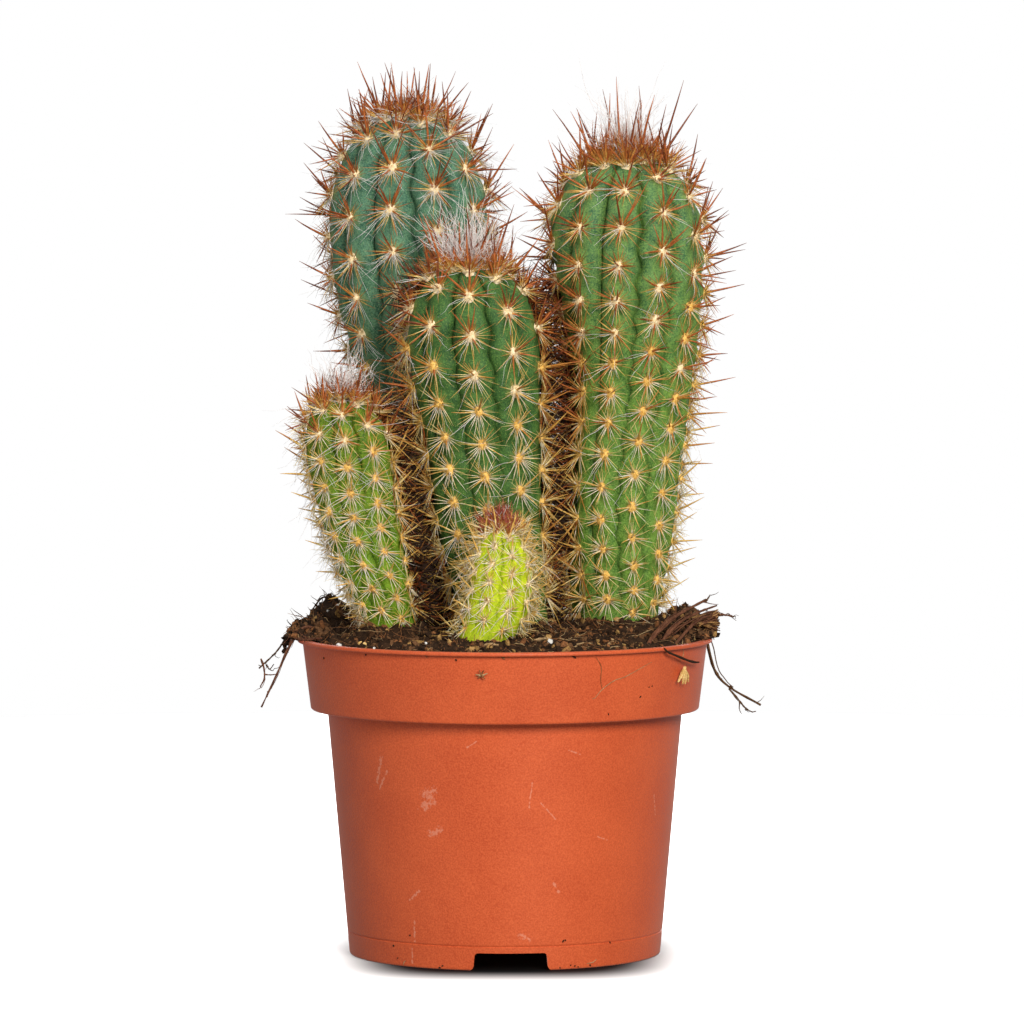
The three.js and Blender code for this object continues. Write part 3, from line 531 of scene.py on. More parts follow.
def skinPart(stem):
    ribs, perRib = stem["ribs"], skinForm["perRib"]
    # closest together in the grooves
    offset = np.sin(np.linspace(-1, 1, perRib, endpoint=False) * np.pi / 2)
    across = np.tile(offset, ribs)
    ribOf = np.repeat(np.arange(ribs), perRib)
    turns = (ribOf + across / 2) / ribs
    runs = np.concatenate([np.linspace(0.15, 4, 12), np.arange(4.4, stem["run"][-1], skinForm["step"])])
    run, turn = np.meshgrid(runs, turns, indexing="ij")
    u = np.abs(np.tile(across, (len(runs), 1)))
    z = heightAt(stem, run)
    climb = (z - stem["soil"]) / (stem["top"] - stem["soil"])
    phases = np.stack([phaseOf(stem, rib, runs) for rib in range(ribs)], 1)
    phase = phases[:, ribOf]
    nextPhase = phases[:, (ribOf + np.where(across < 0, -1, 1)) % ribs]
    fade = smoothstep(run, stem["crown"] * 0.4, stem["crown"] + 5)
    fade *= 0.35 + 0.65 * smoothstep(stem["end"] - run, -2, 14)
    # a rib is widest at its areoles, so the grooves sway from side to side
    sway = (np.cos(2 * np.pi * phase) - np.cos(2 * np.pi * nextPhase)) * np.sign(across) * across ** 2
    turn = turn + sway * fade * skinForm["sway"] / ribs
    young = smoothstep(climb, *skinForm["youngFrom"])
    deep = crestRadius(stem, z) * stem["groove"] * (skinForm["old"] + (1 - skinForm["old"]) * young)
    arch = (1 - np.sqrt(1 - (0.985 * u) ** 2)) / (1 - math.sqrt(1 - 0.985 ** 2))  # the flank of a rib
    sunk = deep * fade * (0.5 * arch + 0.5 * u ** 1.7)
    crease = np.exp(-((1 - u) / skinForm["creaseWidth"]) ** 2)
    sunk += fade * skinForm["crease"] * (0.2 + 0.8 * young) * crease
    swell = 0.5 - 0.5 * np.cos(2 * np.pi * phase)
    sunk += stem["notch"] * fade * swell * np.exp(-(u / skinForm["notchWidth"]) ** 2)
    points = crestPoint(stem, turn, run, sunk)
    x, y = axisAt(stem, z)
    out = unit(points - np.stack([x, y, z], -1))
    flat = points.reshape(-1, 3)
    uneven = sum(
        depth * ripple(flat, wave, stem["seed"] + i) for i, (wave, depth) in enumerate(skinForm["uneven"])
    )
    points = points + out * (uneven.reshape(z.shape) * fade)[..., None]
    tipX, tipY = axisAt(stem, stem["top"])
    lowX, lowY = axisAt(stem, stem["soil"])
    ends = np.array([[tipX, tipY, stem["top"]], [lowX, lowY, z[-1, 0]]])
    near = np.exp(-((phase - np.round(phase)) * 6 / 1.4) ** 2 - (u * 2.2) ** 2)  # close to an areole
    growth = np.stack([1 - u, np.clip(climb, 0, 1), near, np.ones_like(u)], -1).reshape(-1, 4)
    return closedPart(points, ends, turned=True), np.concatenate([growth, [[1, 1, 0, 1], [1, 0, 0, 1]]])


# the skin's colour follows the height and the rib, which the mesh holds as its growth colours;
# the grooves are painted darker as shade and the crests painted lighter as highlight
def skinMaterial(name, stem):
    colors = stem["skin"]
    tree, shader = newMaterial(name, 0.55, 0.12, {
        "Subsurface Weight": 0.08, "Subsurface Radius": (0.5, 1.0, 0.3), "Subsurface Scale": 0.8 * mm,
    })
    growth = addNode(tree, "Attribute", attribute_name="growth")["Color"]
    crest, climb, pad = addNode(tree, "SeparateColor", {0: growth})
    ramp = addNode(tree, "ValToRGB", {"Fac": climb})[0]
    stops = ramp.node.color_ramp.elements
    stops[0].color, stops[0].position = paint(colors["low"]), 0.1
    stops[1].color, stops[1].position = paint(colors["top"]), 0.9
    stops.new(0.5).color = paint(colors["middle"])
    # painted shade: the grooves are mixed toward the groove colour, a little less low on the stem
    deep = remap(tree, crest, 0.0, 0.38, 0.9, 0.0)
    age = remap(tree, climb, 0.35, 0.85, 0.7, 1.0)
    shaded = mixColors(tree, calculate(tree, "MULTIPLY", deep, age), ramp, colors["groove"])
    # painted highlight: the crests are mixed toward the crest colour
    lit = mixColors(tree, remap(tree, crest, 0.55, 1.0, 0.0, 0.45), shaded, colors["crest"])
    drift = addDrift(tree, (lit, colors["groove"], colors["crest"]), 2.6, 0.4, 0.34, 0.36)
    place = addNode(tree, "TexCoord")["Object"]
    dots = addNode(tree, "TexVoronoi", {"Vector": place, "Scale": 1900.0, "Randomness": 1.0})
    dot = remap(tree, dots["Distance"], 0.18, 0.32, 0.3, 0.0)
    specks = mixColors(tree, dot, drift["Color"], colors["speck"])
    done = mixColors(tree, remap(tree, pad, 0.2, 0.9, 0.0, 0.35), specks, stem["ring"])
    tree.links.new(done, shader["Base Color"])
    addRelief(tree, shader, 0.6, 0.17)


def dressStem(node, kind, part, finishes):
    return makePiece(node.replace("stem", kind), part, finishes)


def addSkin(node, stem):
    part, growth = skinPart(stem)
    name = node.replace("stem", "skin")
    skinMaterial(name, stem)
    piece = dressStem(node, "skin", part, [name])
    layer = piece.data.color_attributes.new("growth", "FLOAT_COLOR", "POINT")
    layer.data.foreach_set("color", growth.astype(np.float32).ravel())
    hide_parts(node)


# from pale cream to dark umber and old brown, in the order of the slots of every spine piece;
# the old brown doubles as painted shade deep between stems
spineFinishes = {
    "creamSpine": ("f9ebcb", "e3c995", "fffaea"), "strawSpine": ("f1d587", "cba552", "fce9b0"),
    "goldSpine": ("dfac4b", "b47e2a", "f3cd7c"), "amberSpine": ("c47d32", "98581e", "dd9f52"),
    "rustSpine": ("b05a29", "843c15", "cf7c42"), "umberSpine": ("783715", "50230b", "9a5026"),
    "oldSpineAndShade": ("2e1c12", "190f09", "472e1d"),
}
spineDrift = {"patch": 1.5, "grain": 0.4, "patches": 0.55, "grains": 0.3}
addPaints({**spineFinishes, "rosySpine": ("b0463a", "7f2c24", "d67f6c")}, spineDrift, 0.45, 0.26)

# how far strands stay from other stems, their own and the soil, and the pot's wall: its radius and height
clearance = {"other": 0.3, "own": 0.1, "soil": 0.3, "wall": (47, 81), "tries": 5, "shrink": 0.72}


def bentPaths(roots, aims, lengths, bend, steps):
    share = np.linspace(0, 1, steps)[None, :, None]
    reach = lengths[:, None, None] * share
    return roots[:, None] + aims[:, None] * reach + bend[:, None] * reach * share


# shortens the strands that would enter a stem or the soil, and drops what still does
def clearOf(roots, aims, lengths, owner):
    lengths = lengths.copy()
    shares = np.array([0.35, 0.6, 0.8, 1.0])
    radius, height = clearance["wall"]
    for _ in range(clearance["tries"]):
        points = roots[:, None] + aims[:, None] * (lengths[:, None] * shares)[..., None]
        x, y, z = np.moveaxis(points, -1, 0)
        blocked = (z < soilTop(x, y) + clearance["soil"]) | ((np.hypot(x, y) > radius) & (z < height))
        for stem in stems.values():
            foreign = stem is not owner
            near = insideStem(stem, points, clearance["other" if foreign else "own"])
            blocked |= near & (foreign | (shares > 0.5))
        hit = blocked.any(1)
        lengths[hit] *= clearance["shrink"]
    return ~hit, lengths


# the picked areoles, each as often as strands grow on it
def growOn(areoles, picked, each):
    return {key: np.repeat(values[picked], each, axis=0) for key, values in areoles.items()}


# the direction at an areole: an angle round it, a lift from the skin, and how much it turns up
def aimsFrom(spots, angle, lift, rise=0):
    aims = spots["out"] * np.sin(lift)[:, None]
    aims += spots["right"] * (np.cos(lift) * np.cos(angle))[:, None]
    aims += spots["up"] * (np.cos(lift) * np.sin(angle))[:, None]
    aims[:, 2] += rise
    return aims


def asSlots(levels):
    return np.clip(np.round(levels), 0, len(spineFinishes) - 1).astype(int)


# tints change the level from root to tip; rim says how far from the middle of the felt a strand starts
def spineStrands(random, stem, spots, aims, length, base, level, tints, sides=4, rim=0.3):
    aims = unit(aims)
    lean = (aims * spots["out"]).sum(-1, keepdims=True)
    spread = aims - spots["out"] * lean
    roots = spots["here"] + spots["out"] * 0.15 + spread * stem["felt"] * rim
    bend = random.normal(0, 0.05, roots.shape) - spots["out"] * 0.03
    keep, length = clearOf(roots, aims, length, stem)
    keep &= length > 1
    levels = level[:, None] + np.array(tints)
    steps = levels.shape[1] + 1
    taper = np.interp(np.linspace(0, 1, steps), [0, 0.25, 0.5, 0.75, 1], [1, 0.92, 0.74, 0.48, 0.12])
    paths = bentPaths(roots, aims, length, bend, steps)[keep]
    return strandPart(paths, base[keep, None] * taper, sides, asSlots(levels[keep]))


def addSpines(node, stem, areoles):
    random = np.random.default_rng(stem["seed"])
    made = stem["spines"]
    crownReach = 22  # how far down from the tip spines turn up
    # a star of thin ones, close to the skin
    each = made["count"]
    spots = growOn(areoles, slice(None), each)
    climb, count = spots["climb"], len(spots["climb"])
    angle = (np.arange(count) % each + random.uniform(-0.4, 0.4, count)) / each * 2 * np.pi
    redFrom = made["redFrom"]
    red = smoothstep(climb + random.uniform(-0.08, 0.08, count), redFrom - 0.25, redFrom + 0.35)
    upward = np.sin(angle)
    lift = np.radians(random.uniform(6, 42, count))
    aims = aimsFrom(spots, angle, lift, np.clip(1 - spots["run"] / crownReach, 0, 1) * 0.55)
    length = made["radial"] * random.uniform(0.6, 1.12, count) * (1 - 0.15 * upward) * (0.92 + 0.16 * climb)
    level = 0.65 + 2.3 * red + (0.6 + 0.5 * red) * upward + random.uniform(-0.7, 0.7, count)
    tints = np.stack([-0.9 - red * 1.1, -0.2 - red * 0.4, 0.25 + red * 0.2, 0.5 + red * 0.6], -1)
    grown = random.uniform(0, 1, count) < np.interp(climb, [0.3, 0.85], [made["sparse"], 1])
    length = np.where(grown, length, 0)
    base = np.full(count, 0.112) + 0.025 * red
    groups = [spineStrands(random, stem, spots, aims, length, base, level, tints, 3, 0.75)]
    # a few stout ones that stand out, one of them long
    each = made["centrals"]
    spots = growOn(areoles, slice(None), each)
    climb, count = spots["climb"], len(spots["climb"])
    rank = np.arange(count) % each
    chief = rank == 0
    red = smoothstep(climb + random.uniform(-0.08, 0.08, count), redFrom - 0.3, redFrom + 0.2)
    angle = np.radians(90) + rank * np.radians(360 / each) + random.uniform(-0.6, 0.6, count)
    lift = np.radians(np.where(chief, random.uniform(45, 80, count), random.uniform(25, 55, count)))
    aims = aimsFrom(spots, angle, lift, np.clip(1 - spots["run"] / crownReach, 0, 1) * 0.75)
    shortest, longest = made["central"]
    length = (shortest + (longest - shortest) * climb ** 1.5) * np.where(
        chief, random.uniform(0.72, 1.0, count), random.uniform(0.4, 0.72, count))
    level = 1.4 + 2.7 * red + random.uniform(-0.4, 0.5, count)
    base = np.where(chief, 0.25, 0.18) + 0.09 * climb
    groups.append(spineStrands(random, stem, spots, aims, length, base, level, (-0.9, 0, 0.4, 0.6)))
    # more of them on the youngest areoles, which crowd below the crown
    spots = growOn(areoles, areoles["run"] < made["youngBelow"], made["youngEach"])
    count = len(spots["run"])
    angle = random.uniform(0, 2 * np.pi, count)
    aims = aimsFrom(spots, angle, np.radians(random.uniform(25, 70, count)), 0.7)
    length = stem["tuft"]["length"] * random.uniform(0.45, 0.95, count)
    level = random.uniform(2.5, 4.1, count)
    base = np.full(count, 0.12)
    groups.append(spineStrands(random, stem, spots, aims, length, base, level, (-2.2, -0.9, 0, 0.4), 3, 0.5))
    # dark stout ones round the shoulders
    spots = growOn(areoles, areoles["run"] < made["stoutBelow"], made["stoutEach"])
    count = len(spots["run"])
    angle = np.radians(90 + random.uniform(-115, 115, count))
    aims = aimsFrom(spots, angle, np.radians(random.uniform(22, 65, count)), 0.15)
    length = longest * random.uniform(0.42, 0.95, count)
    level = random.uniform(3.6, 5.1, count)
    base = random.uniform(0.22, 0.35, count)
    groups.append(spineStrands(random, stem, spots, aims, length, base, level, (-0.9, 0, 0.3, 0.3)))
    dressStem(node, "spines", joinParts(groups), spineFinishes)


# where two stems stand close their areoles fill the gap: old brown spines deep in it, made near black
# as painted shade of the gap, golden ones in front; the tiny stem has a pale fringe instead
thicket = {
    "reach": (3, 6, 9, 12, 15, 18),
    # painted shade: the deep strands take the darkest finishes, so the gap between stems looks dark
    "deep": {
        "swings": (-32, 0, 32), "outFrom": -0.1, "outTo": 1, "each": 145, "length": (4.5, 10.5),
        "radius": 0.2, "levels": (5.1, 6.5), "redder": -0.25, "lift": (8, 80), "spread": (4.2, 4), "sunk": 2,
    },
    "front": {
        "swings": (-20, 0, 20), "outFrom": -1, "outTo": 0.4, "each": 17, "length": (5, 11.5),
        "radius": 0.13, "levels": (1.1, 3.8), "redder": 1, "lift": (8, 60), "spread": (0.4, 0.4), "sunk": 0,
    },
    "fringe": {
        "swings": (), "outFrom": -0.35, "outTo": 1, "each": 17, "length": (4.5, 9.5), "radius": 0.1,
        "levels": (0.3, 2.5), "redder": 0, "lift": (5, 60), "spread": (0.4, 0.4), "sunk": 0,
    },
    "thinFrom": (163, 174), "redFrom": (120, 175),  # heights from and to which they thin out and redden
}


# the areoles that look at another stem nearby
def facesStem(stem, areoles, swings):
    facing = np.zeros(len(areoles["run"]), bool)
    for swing in swings:
        aside = math.radians(swing)
        look = areoles["out"] * math.cos(aside) + areoles["right"] * math.sin(aside)
        for reach in thicket["reach"]:
            for other in stems.values():
                if other is not stem:
                    facing |= insideStem(other, areoles["here"] + look * reach, 0.5)
    return facing


def addThicket(node, stem, areoles):
    random = np.random.default_rng(stem["seed"] + 3)
    groups = []
    for name in stem["thicket"]:
        made = thicket[name]
        facing = (areoles["out"][:, 1] > made["outFrom"]) & (areoles["out"][:, 1] < made["outTo"])
        if made["swings"]:
            facing &= facesStem(stem, areoles, made["swings"])
        spots = growOn(areoles, facing, made["each"])
        count = len(spots["run"])
        angle = random.uniform(0, 2 * np.pi, count)
        aims = aimsFrom(spots, angle, np.radians(random.uniform(*made["lift"], count)))
        length = random.uniform(*made["length"], count)
        thin = 0.85 * smoothstep(spots["here"][:, 2], *thicket["thinFrom"])
        length = np.where(random.uniform(0, 1, count) < thin, 0, length)
        for axis, most in zip(("right", "up"), made["spread"]):
            spots["here"] = spots["here"] + spots[axis] * random.uniform(-most, most, (count, 1))
        spots["here"] = spots["here"] - spots["out"] * random.uniform(0, made["sunk"], (count, 1))
        red = 1.6 * smoothstep(spots["here"][:, 2], *thicket["redFrom"])
        level = random.uniform(*made["levels"], count) + made["redder"] * red
        base = made["radius"] * random.uniform(0.8, 1.3, count)
        groups.append(spineStrands(random, stem, spots, aims, length, base, level, (-0.4, 0.1, 0.4), 3, 0.8))
    dressStem(node, "thicket", joinParts(groups), spineFinishes)


# felt cushions with short fuzz
cushion = {"shape": (0.9, 1.12, 0.78), "rings": 4, "sides": 10, "fuzz": 46, "young": 0.3, "sunk": 0.1}
feltFinishes = {"creamFelt": ("fde6b2", "dfb768", "fff8e2"), "goldFelt": ("f5c45c", "d09630", "ffe398")}
addPaints(feltFinishes, {"patch": 0.9, "grain": 0.25, "patches": 0.4, "grains": 0.4}, 0.9, 0.1)


def addFelt(node, stem, areoles):
    random = np.random.default_rng(stem["seed"] + 5)
    count = len(areoles["run"])
    grown = 0.9 + cushion["young"] * np.clip(areoles["climb"], 0, 1)
    size = stem["felt"] * random.uniform(0.9, 1.1, count) * grown
    rings, sides = cushion["rings"], cushion["sides"]
    tilt = np.linspace(0, np.pi / 2, rings + 1)[1:][::-1]
    turn = np.arange(sides) / sides * 2 * np.pi
    wide, tall, proud = cushion["shape"]
    shape = np.stack([
        np.outer(np.sin(tilt), np.cos(turn)) * wide, np.outer(np.sin(tilt), np.sin(turn)) * tall,
        np.outer(np.cos(tilt), np.ones(sides)) * proud - cushion["sunk"],
    ], -1).reshape(-1, 3)
    shape = np.concatenate([shape, [[0, 0, proud - cushion["sunk"]]]])
    index, beside, quads = ringFaces(rings, sides)
    tip = np.stack([index[-1], beside[-1], np.full(sides, index.size)], -1)
    lumps = shape[None] * size[:, None, None] * (1 + random.normal(0, 0.1, (count, len(shape), 1)))
    axes = np.stack([areoles["right"], areoles["up"], areoles["out"]], 1)
    points = areoles["here"][:, None] + lumps @ axes
    faces = [copyFaces(each, count, len(shape)) for each in (quads, tip)]
    level = np.where(areoles["climb"] + random.uniform(-0.1, 0.1, count) > stem["goldBelow"], 0, 1)
    slots = [np.repeat(level, len(quads)), np.repeat(level, sides)]
    parts = [(points.reshape(-1, 3), faces, slots)]
    pick = np.repeat(np.arange(count), cushion["fuzz"])
    angle = random.uniform(0, 2 * np.pi, len(pick))
    lean = random.uniform(0.1, 1.4, len(pick))
    local = [np.sin(lean) * np.cos(angle) * wide, np.sin(lean) * np.sin(angle) * tall, np.cos(lean) * proud]
    start = (np.stack(local, -1)[:, None] @ axes[pick])[:, 0]
    roots = areoles["here"][pick] + start * (size[pick] * 0.85)[:, None]
    length = size[pick] * random.uniform(0.25, 0.7, len(pick))
    fuzz = bentPaths(roots, unit(start), length, random.normal(0, 0.35, (len(pick), 3)), 3)
    radii = np.full((len(pick), 1), 0.06) * np.array([1, 0.8, 0.3])
    parts.append(strandPart(fuzz, radii, 3, level[pick][:, None]))
    dressStem(node, "felt", joinParts(parts), feltFinishes)


hairTaper = np.array([1, 1, 0.95, 0.85, 0.7, 0.3])
addPaints(
    {"whiteHair": ("e6e2dc", "c4bcb2", "ffffff"), "rosyHair": ("f4ebe6", "d6c6be", "fffcfa")},
    {"patch": 2.0, "grain": 0.5, "patches": 0.5, "grains": 0.3}, 0.5, 0.3,
)


def wander(random, paths, amount):
    drift = np.cumsum(random.normal(0, amount, paths.shape), axis=1)
    return drift - drift[:, :1]


# paths that bend and drift by chance; pull bends them all one way
def loosePaths(random, roots, aims, length, steps, sway, drift, pull=0):
    bend = random.normal(0, sway, roots.shape) + pull
    paths = bentPaths(roots, aims, length, bend, steps)
    return paths + wander(random, paths, drift)


# places on the crown, and directions from them that open outwards
def openCrown(random, stem, turns, away, width, lean, stray):
    x, y = axisAt(stem, stem["top"])
    roots = crestPoint(stem, turns, away, 0.2)
    outward = (roots - np.array([x, y, 0])) * np.array([1, 1, 0]) / width
    return roots, unit(outward * lean + np.array([0, 0, 1]) + random.normal(0, stray, roots.shape))


# fine white hairs from the upper areoles, wool on the crown, and matted hairs on the slim stem
def addHairs(node, stem, areoles):
    random = np.random.default_rng(stem["seed"] + 9)
    facing = facesStem(stem, areoles, thicket["deep"]["swings"])
    spots = growOn(areoles, (areoles["climb"] > 0.25) & ~facing, stem["hairs"])
    count = len(spots["run"])
    side = random.normal(0, 0.9, (count, 1))
    down = random.uniform(0.2, 1.1, (count, 1))
    out = random.uniform(0.15, 0.5, (count, 1))
    aims = unit(spots["right"] * side - spots["up"] * down + spots["out"] * out)
    length = random.uniform(3, 11, count)
    roots = spots["here"] + spots["out"] * 0.2
    keep, length = clearOf(roots, aims, length, stem)
    paths = loosePaths(random, roots, aims, length, 6, 0.22, 0.25, spots["out"] * -0.12)
    radii = random.uniform(0.04, 0.07, (count, 1)) * hairTaper
    parts = [strandPart(paths[keep], radii[keep])]
    wool = stem["wool"]
    count = wool["count"]
    turns = random.uniform(0, 1, count)
    away = wool["width"] * np.sqrt(random.uniform(0, 1, count))
    roots, aims = openCrown(random, stem, turns, away + 0.2, wool["width"], 0.45, 0.15)
    length = wool["length"] * random.uniform(0.3, 1, count) * (1 - 0.35 * away / wool["width"])
    paths = loosePaths(random, roots, aims, length, 9, 0.42, 0.5)
    radii = random.uniform(0.055, 0.09, (count, 1)) * np.array([1, 1, 1, 1, 0.9, 0.9, 0.8, 0.6, 0.3])
    parts.append(strandPart(paths, radii))
    if stem["matted"]:  # low on the side that leans out
        spots = growOn(areoles, (areoles["out"][:, 0] < -0.6) & (areoles["climb"] < 0.4), stem["matted"])
        count = len(spots["run"])
        aims = unit(spots["out"] * 0.5 - spots["up"] * 0.5 + random.normal(0, 0.5, (count, 3)))
        length = random.uniform(1.5, 4.6, count)
        roots = spots["here"] + spots["up"] * random.uniform(-1.5, 1.5, (count, 1))
        keep, length = clearOf(roots, aims, length, stem)
        paths = loosePaths(random, roots, aims, length, 6, 0.3, 0.25)
        radii = random.uniform(0.05, 0.09, (count, 1)) * hairTaper
        parts.append(strandPart(paths[keep], radii[keep], 3, 1))
    dressStem(node, "hairs", joinParts(parts), [wool["finish"], "creamSpine"])


# the young areoles on the crown stand so close that their spines make one dense brush
def addBristles(node, stem):
    random = np.random.default_rng(stem["seed"] + 13)
    tuft = stem["tuft"]

    def brush(turns, away, length, base, lean, stray, level, tints):
        roots, aims = openCrown(random, stem, turns, away, tuft["width"], lean, stray)
        paths = bentPaths(roots, aims, length, random.normal(0, 0.05, roots.shape), 5)
        radii = base[:, None] * np.array([1, 0.92, 0.75, 0.5, 0.12])
        return strandPart(paths, radii, 4, asSlots(level[:, None] + np.array(tints)))

    # each rib ends in a row of young areoles, every second rib half a step further out
    rib, row = np.meshgrid(np.arange(stem["ribs"]), np.arange(tuft["rows"]))
    rib, row = rib.ravel(), row.ravel()
    clusters = len(rib)
    step = tuft["width"] / tuft["rows"]
    centreAway = step * (row + 0.3 + 0.5 * (rib % 2)) * random.uniform(0.92, 1.08, clusters)
    vigour = random.uniform(0.6, 1.15, clusters)
    pick = np.repeat(np.arange(clusters), tuft["each"])
    count = len(pick)
    spread = 0.28 + 0.03 * tuft["width"]
    away = np.abs(centreAway[pick] + random.normal(0, spread, count)) + 0.1
    turns = rib[pick] / stem["ribs"] + random.normal(0, spread, count) / (2 * np.pi * (away + 0.8))
    length = tuft["length"] * vigour[pick] * random.uniform(0.4, 1, count) * (1 - 0.25 * away / tuft["width"])
    level = random.uniform(*tuft["levels"], count)
    parts = [brush(turns, away, length, np.full(count, 0.12), 0.85, 0.3, level, (-2.7, -1.5, 0, 0.4))]
    count = tuft["long"]
    if count:
        turns = (np.arange(count) + random.uniform(-0.3, 0.3, count)) / count
        away = tuft["width"] * random.uniform(0.3, 1.15, count)
        length = tuft["longest"] * random.uniform(0.72, 1, count)
        level = random.uniform(3.6, 4.8, count)
        base = random.uniform(0.27, 0.38, count)
        parts.append(brush(turns, away, length, base, 0.6, 0.12, level, (-1.4, 0, 0.3, 0.3)))
    finishes = list(spineFinishes)
    if "rosy" in tuft:
        finishes[tuft["rosy"]] = "rosySpine"
    dressStem(node, "bristles", joinParts(parts), finishes)


# the pot, as in the CAD model, with rounded edges
pot = {
    "height": 80, "lipRadius": 52.5, "lipHeight": 0.95, "collarTop": 51.2, "collarBottom": 49.1,
    "collarFrom": 62, "bodyTop": 44.9, "bodyBottom": 39.4, "wall": 1, "floorFrom": 7, "floorThickness": 1.4,
    "footInner": 36.9, "notches": 3, "notchTurn": 2.2, "notchWidth": 18, "notchHeight": 4.4, "notchEdge": 1,
    "notchFlare": 1, "flareHeight": 1.1, "holes": 5, "holeRadius": 4.5, "holeCircle": 25, "segments": 240,
    "seamAt": 6, "seamDepth": 0.22,
}
potFinish = {"base": ("cb5126", "ac431f", "da6939"), "dust": "e2a084"}

# rubbed marks on the front: degrees round the pot, height, degrees and height of the other end, width
scuffs = [
    (-47, 46, -44, 52.5, 0.5), (-46, 44.5, -42, 49, 0.35), (-28, 40.5, -25, 42.5, 1.2),
    (-27.5, 44, -24, 45, 0.9), (-25.5, 34, -22.5, 35, 0.9), (8, 41, 9, 47, 0.22), (12, 42, 17, 38, 0.2),
    (5.5, 9, 8.5, 8.2, 0.7), (17, 22, 19, 19.5, 0.3), (-35, 17, -31, 19.5, 0.35),
    (-34, 6.5, -33.6, 12, 0.3),
    (-35.6, 1, -35.4, 5, 0.25), (62, 37, 60, 42, 0.3), (33, 33, 37, 32, 0.18), (-12, 56, -9, 57.5, 0.2),
    (21, 55, 25, 54, 0.2),
]


def wallRadius(z):
    if z < pot["collarFrom"]:
        return pot["bodyBottom"] + (pot["bodyTop"] - pot["bodyBottom"]) * z / pot["collarFrom"]
    rise = (z - pot["collarFrom"]) / (pot["height"] - pot["lipHeight"] - pot["collarFrom"])
    return pot["collarBottom"] + (pot["collarTop"] - pot["collarBottom"]) * min(rise, 1)


def onWall(degrees, z, lift=0.0):
    angle, radius = math.radians(degrees), wallRadius(z) + lift
    return (radius * math.sin(angle), -radius * math.cos(angle), z)


def innerRadius(z):
    return wallRadius(z) - pot["wall"]


# an outline with its corners rounded; each corner is radius, height and the size of its rounding
def roundedOutline(corners, arcSteps=5):
    points = []
    for i, (r, z, size) in enumerate(corners):
        here = np.array([r, z], float)
        if size == 0 or i in (0, len(corners) - 1):
            points.append(here)
            continue
        back = np.array(corners[i - 1][:2], float) - here
        ahead = np.array(corners[i + 1][:2], float) - here
        start = here + unit(back) * size
        end = here + unit(ahead) * size
        for t in np.linspace(0, 1, arcSteps + 1):
            points.append((1 - t) ** 2 * start + 2 * t * (1 - t) * here + t * t * end)
    # a long straight stretch gets points close to its ends, so that it shades flat
    held = [points[0]]
    for point in points[1:]:
        gap = np.linalg.norm(point - held[-1])
        if gap > 2.5:
            step = (point - held[-1]) / gap
            held += [held[-1] + step * 0.35, (held[-1] + point) / 2, point - step * 0.35]
        held.append(point)
    return np.array(held)


def lathePart(outline, segments):
    angle = np.arange(segments) / segments * 2 * np.pi
    ring = outline[1:-1]
    points = np.stack([
        ring[:, :1] * np.sin(angle), -ring[:, :1] * np.cos(angle), np.repeat(ring[:, 1:], segments, axis=1),
    ], -1)
    return closedPart(points, np.array([[0, 0, outline[0][1]], [0, 0, outline[-1][1]]]))


def potOutline():
    seam, seamAt, groove = wallRadius(pot["seamAt"]), pot["seamAt"], pot["seamDepth"]
    floorFrom, floorTop = pot["floorFrom"], pot["floorFrom"] + pot["floorThickness"]
    collarFrom, shelf = pot["collarFrom"], pot["collarFrom"] + pot["wall"]
    height, lipFrom = pot["height"], pot["height"] - pot["lipHeight"]
    return roundedOutline([
        (0, floorFrom, 0), (pot["footInner"], floorFrom, 0.6), (pot["footInner"], 0, 0.5),
        (pot["bodyBottom"], 0, 0.5), (seam - 0.02, seamAt - 0.25, 0), (seam - groove, seamAt, 0),
        (seam + 0.02, seamAt + 0.25, 0), (pot["bodyTop"], collarFrom, 0.8),
        (pot["collarBottom"], collarFrom, 0.6), (pot["collarTop"], lipFrom, 0.3),
        (pot["lipRadius"], lipFrom, 0.35), (pot["lipRadius"], height, 0.5),
        (pot["collarTop"] - pot["wall"], height, 0.4), (innerRadius(shelf), shelf, 0.8),
        (innerRadius(collarFrom - 0.01), shelf, 0.8), (innerRadius(floorTop), floorTop, 1.6),
        (0, floorTop, 0),
    ])


# a prism of that outline, pushed through the wall or the floor
def cutter(name, outline, depth, place, turn, upright):
    mesh = bpy.data.meshes.new(name)
    near = [(x, 0, z) if upright else (x, z, 0) for x, z in outline]
    shift = (0, depth, 0) if upright else (0, 0, depth)
    far = [tuple(a + b for a, b in zip(p, shift)) for p in near]
    count = len(near)
    faces = [tuple(range(count)), tuple(range(2 * count - 1, count - 1, -1))]
    faces += [(i, i + count, (i + 1) % count + count, (i + 1) % count) for i in range(count)]
    mesh.from_pydata([Vector(p) * mm for p in near + far], [], faces)
    knife = bpy.data.objects.new(name, mesh)
    knife.location = Vector(place) * mm
    knife.rotation_euler = (0, 0, turn)
    bpy.context.scene.collection.objects.link(knife)
    return knife


def notchOutline():
    half, tall, edge, flare = (pot[key] for key in ("notchWidth", "notchHeight", "notchEdge", "notchFlare"))
    half = half / 2
    left = [(-half - flare * 1.5, -1), (-half - flare, 0), (-half - flare * 0.45, pot["flareHeight"] * 0.45)]
    left += [(-half - flare * 0.2, pot["flareHeight"]), (-half, tall - edge)]
    for t in (0.25, 0.5, 0.75, 1):
        left.append((-half + edge * t * t, tall - edge * (1 - t) ** 2))
    return left + [(-x, z) for x, z in reversed(left)]


